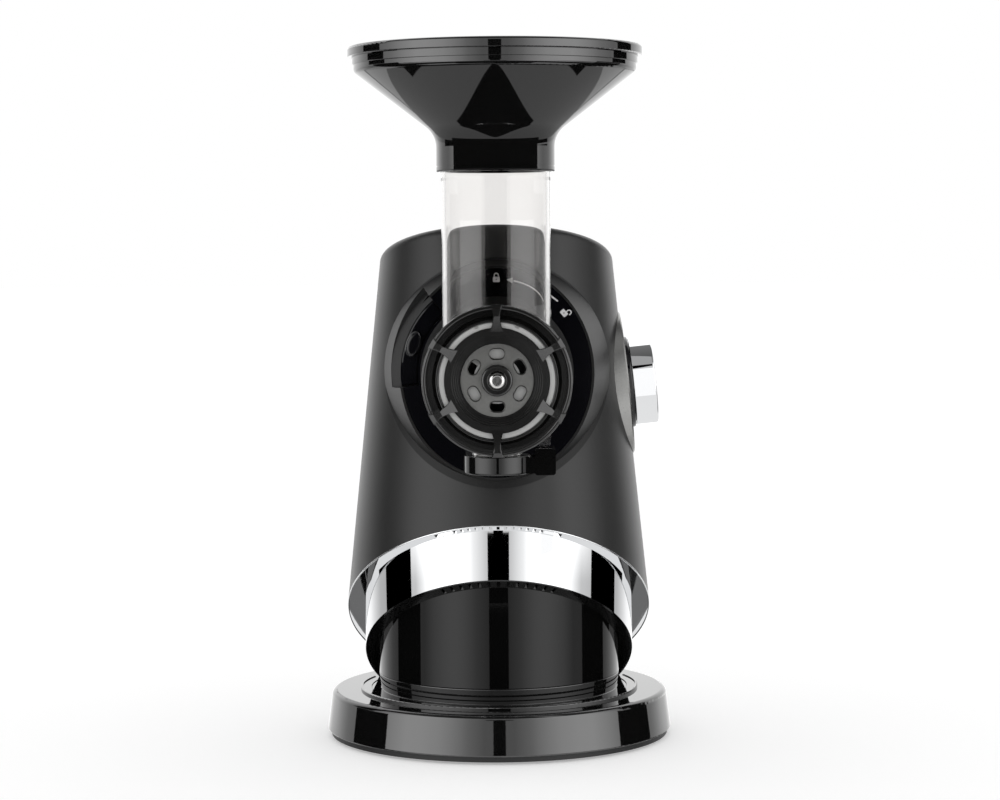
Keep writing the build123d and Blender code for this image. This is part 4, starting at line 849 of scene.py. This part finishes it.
# Share of the wall's level that is left below the soft boxes, against azimuth / 180.
SKIRTING_STOPS = (
    (0.0, 1.0), (0.19, 1.0), (0.26, 0.88), (0.34, 0.62), (0.42, 0.35), (0.6, 0.6), (1.0, 1.0),
)
SKIRTING_FROM_DEG = -7.4
SKIRTING_TO_DEG = -5.4
# What clear plastic shows by refraction, against azimuth / 180: its edges turn dark.
EDGE_STOPS = ((0.0, 1.0), (0.5, 1.0), (0.56, 0.0), (0.78, 0.0), (0.84, 1.0))
# The table that gloss mirrors: its level, and the dark line where it ends.
TABLE_SHARE = 0.40
TABLE_EDGE_DEG = -21.7
TABLE_EDGE_SOFT_DEG = 0.4
TABLE_LINE_DEG = 0.4
TABLE_LINE_SOFT_DEG = 0.2
TABLE_LINE_SHARE = 0.2
# The dim ceiling, from the front over the top, against the angle over the top / 180.
CEILING_FROM_DEG = 38.0
CEILING_TO_DEG = 41.0
CEILING_STOPS = ((0.0, 0.024), (0.22, 0.024), (0.6, 0.085), (1.0, 0.085))
CEILING_BACK_DEG = 108.0
CEILING_BACK_SOFT_DEG = 1.0
HALF_TURN_DEG = 180.0


def mirrored_room(net, azimuth, y, z):
    """Colour of the room that gloss and chrome mirror, by direction; azimuth is a share of 180."""
    elevation = z.arcsine() * math.degrees(1.0)
    over_top = z.arctangent(-y) * math.degrees(1.0)

    under = 1.0 - elevation.rising(SKIRTING_FROM_DEG, SKIRTING_TO_DEG)
    skirting = net.mix(under, grey(1.0), net.ramp(azimuth, SKIRTING_STOPS))
    wall = net.ramp(azimuth, WALL_STOPS) * skirting

    table_from = TABLE_EDGE_DEG - TABLE_EDGE_SOFT_DEG
    table_to = TABLE_EDGE_DEG + TABLE_EDGE_SOFT_DEG
    table = 1.0 - elevation.rising(table_from, table_to)
    off_edge = (elevation - TABLE_EDGE_DEG).absolute()
    off_line = off_edge.rising(TABLE_LINE_DEG, TABLE_LINE_DEG + TABLE_LINE_SOFT_DEG)
    line = off_line * (1.0 - TABLE_LINE_SHARE) + TABLE_LINE_SHARE
    side = net.mix(table, wall, grey(TABLE_SHARE)) * line

    back_from = CEILING_BACK_DEG - CEILING_BACK_SOFT_DEG
    back_to = CEILING_BACK_DEG + CEILING_BACK_SOFT_DEG
    ceiling = elevation.rising(CEILING_FROM_DEG, CEILING_TO_DEG)
    ceiling = ceiling * (1.0 - over_top.rising(back_from, back_to))
    return net.mix(ceiling, side, net.ramp(over_top / HALF_TURN_DEG, CEILING_STOPS))


def light_world():
    """Plain light on the object, a white ground for the camera, and the room for reflections."""
    world = bpy.data.worlds.new("studio")
    scene.world = world
    world.use_nodes = True
    net = Network(world.node_tree)
    toward = net.add("ShaderNodeTexCoord", {}, {}, "Generated")
    x, y, z = (net.part(toward, letter) for letter in "XYZ")
    azimuth = x.arctangent(-y).absolute() / math.pi
    camera = net.add("ShaderNodeLightPath", {}, {}, "Is Camera Ray")
    through = camera.sibling("Is Transmission Ray")
    glossy = camera.sibling("Is Glossy Ray") * (1.0 - through)
    straight = camera.maximum(through * net.ramp(azimuth, EDGE_STOPS))
    level = DIFFUSE_LEVEL + straight * (1.0 - DIFFUSE_LEVEL)
    color = net.mix(glossy, grey(1.0), mirrored_room(net, azimuth, y, z))
    background = net.tree.nodes["Background"]
    net.feed(background.inputs["Color"], color)
    net.feed(background.inputs["Strength"], level + glossy * (SOFTBOX_LEVEL - DIFFUSE_LEVEL))


light_world()

# ------------------------------------------------------------------ camera
EYE_DISTANCE = 1.612
EYE_HEIGHT = 0.300
FRAME_WIDTH_PX = 1000
FRAME_HEIGHT_PX = 800
FOCAL_PX = 2660.0
HORIZON_ROW = 237.0
AXIS_COLUMN = 496.0
ROLL = math.radians(-0.415)
SENSOR = 36.0
CLIP_NEAR = 0.05
CLIP_FAR = 100.0


def add_camera():
    """Camera that looks level, its lens shifted so that the horizon falls on HORIZON_ROW."""
    data = bpy.data.cameras.new("camera")
    data.sensor_width = SENSOR
    data.lens = SENSOR * FOCAL_PX / FRAME_WIDTH_PX
    data.shift_x = (FRAME_WIDTH_PX / 2 - AXIS_COLUMN) / FRAME_WIDTH_PX
    data.shift_y = (HORIZON_ROW - FRAME_HEIGHT_PX / 2) / FRAME_WIDTH_PX
    data.clip_start = CLIP_NEAR
    data.clip_end = CLIP_FAR
    camera = bpy.data.objects.new("camera", data)
    scene.collection.objects.link(camera)
    turn = Matrix.Rotation(math.pi / 2, 4, "X") @ Matrix.Rotation(ROLL, 4, "Z")
    camera.matrix_world = Matrix.Translation((0, -EYE_DISTANCE, EYE_HEIGHT)) @ turn
    scene.camera = camera


add_camera()
scene.view_settings.view_transform = "Standard"
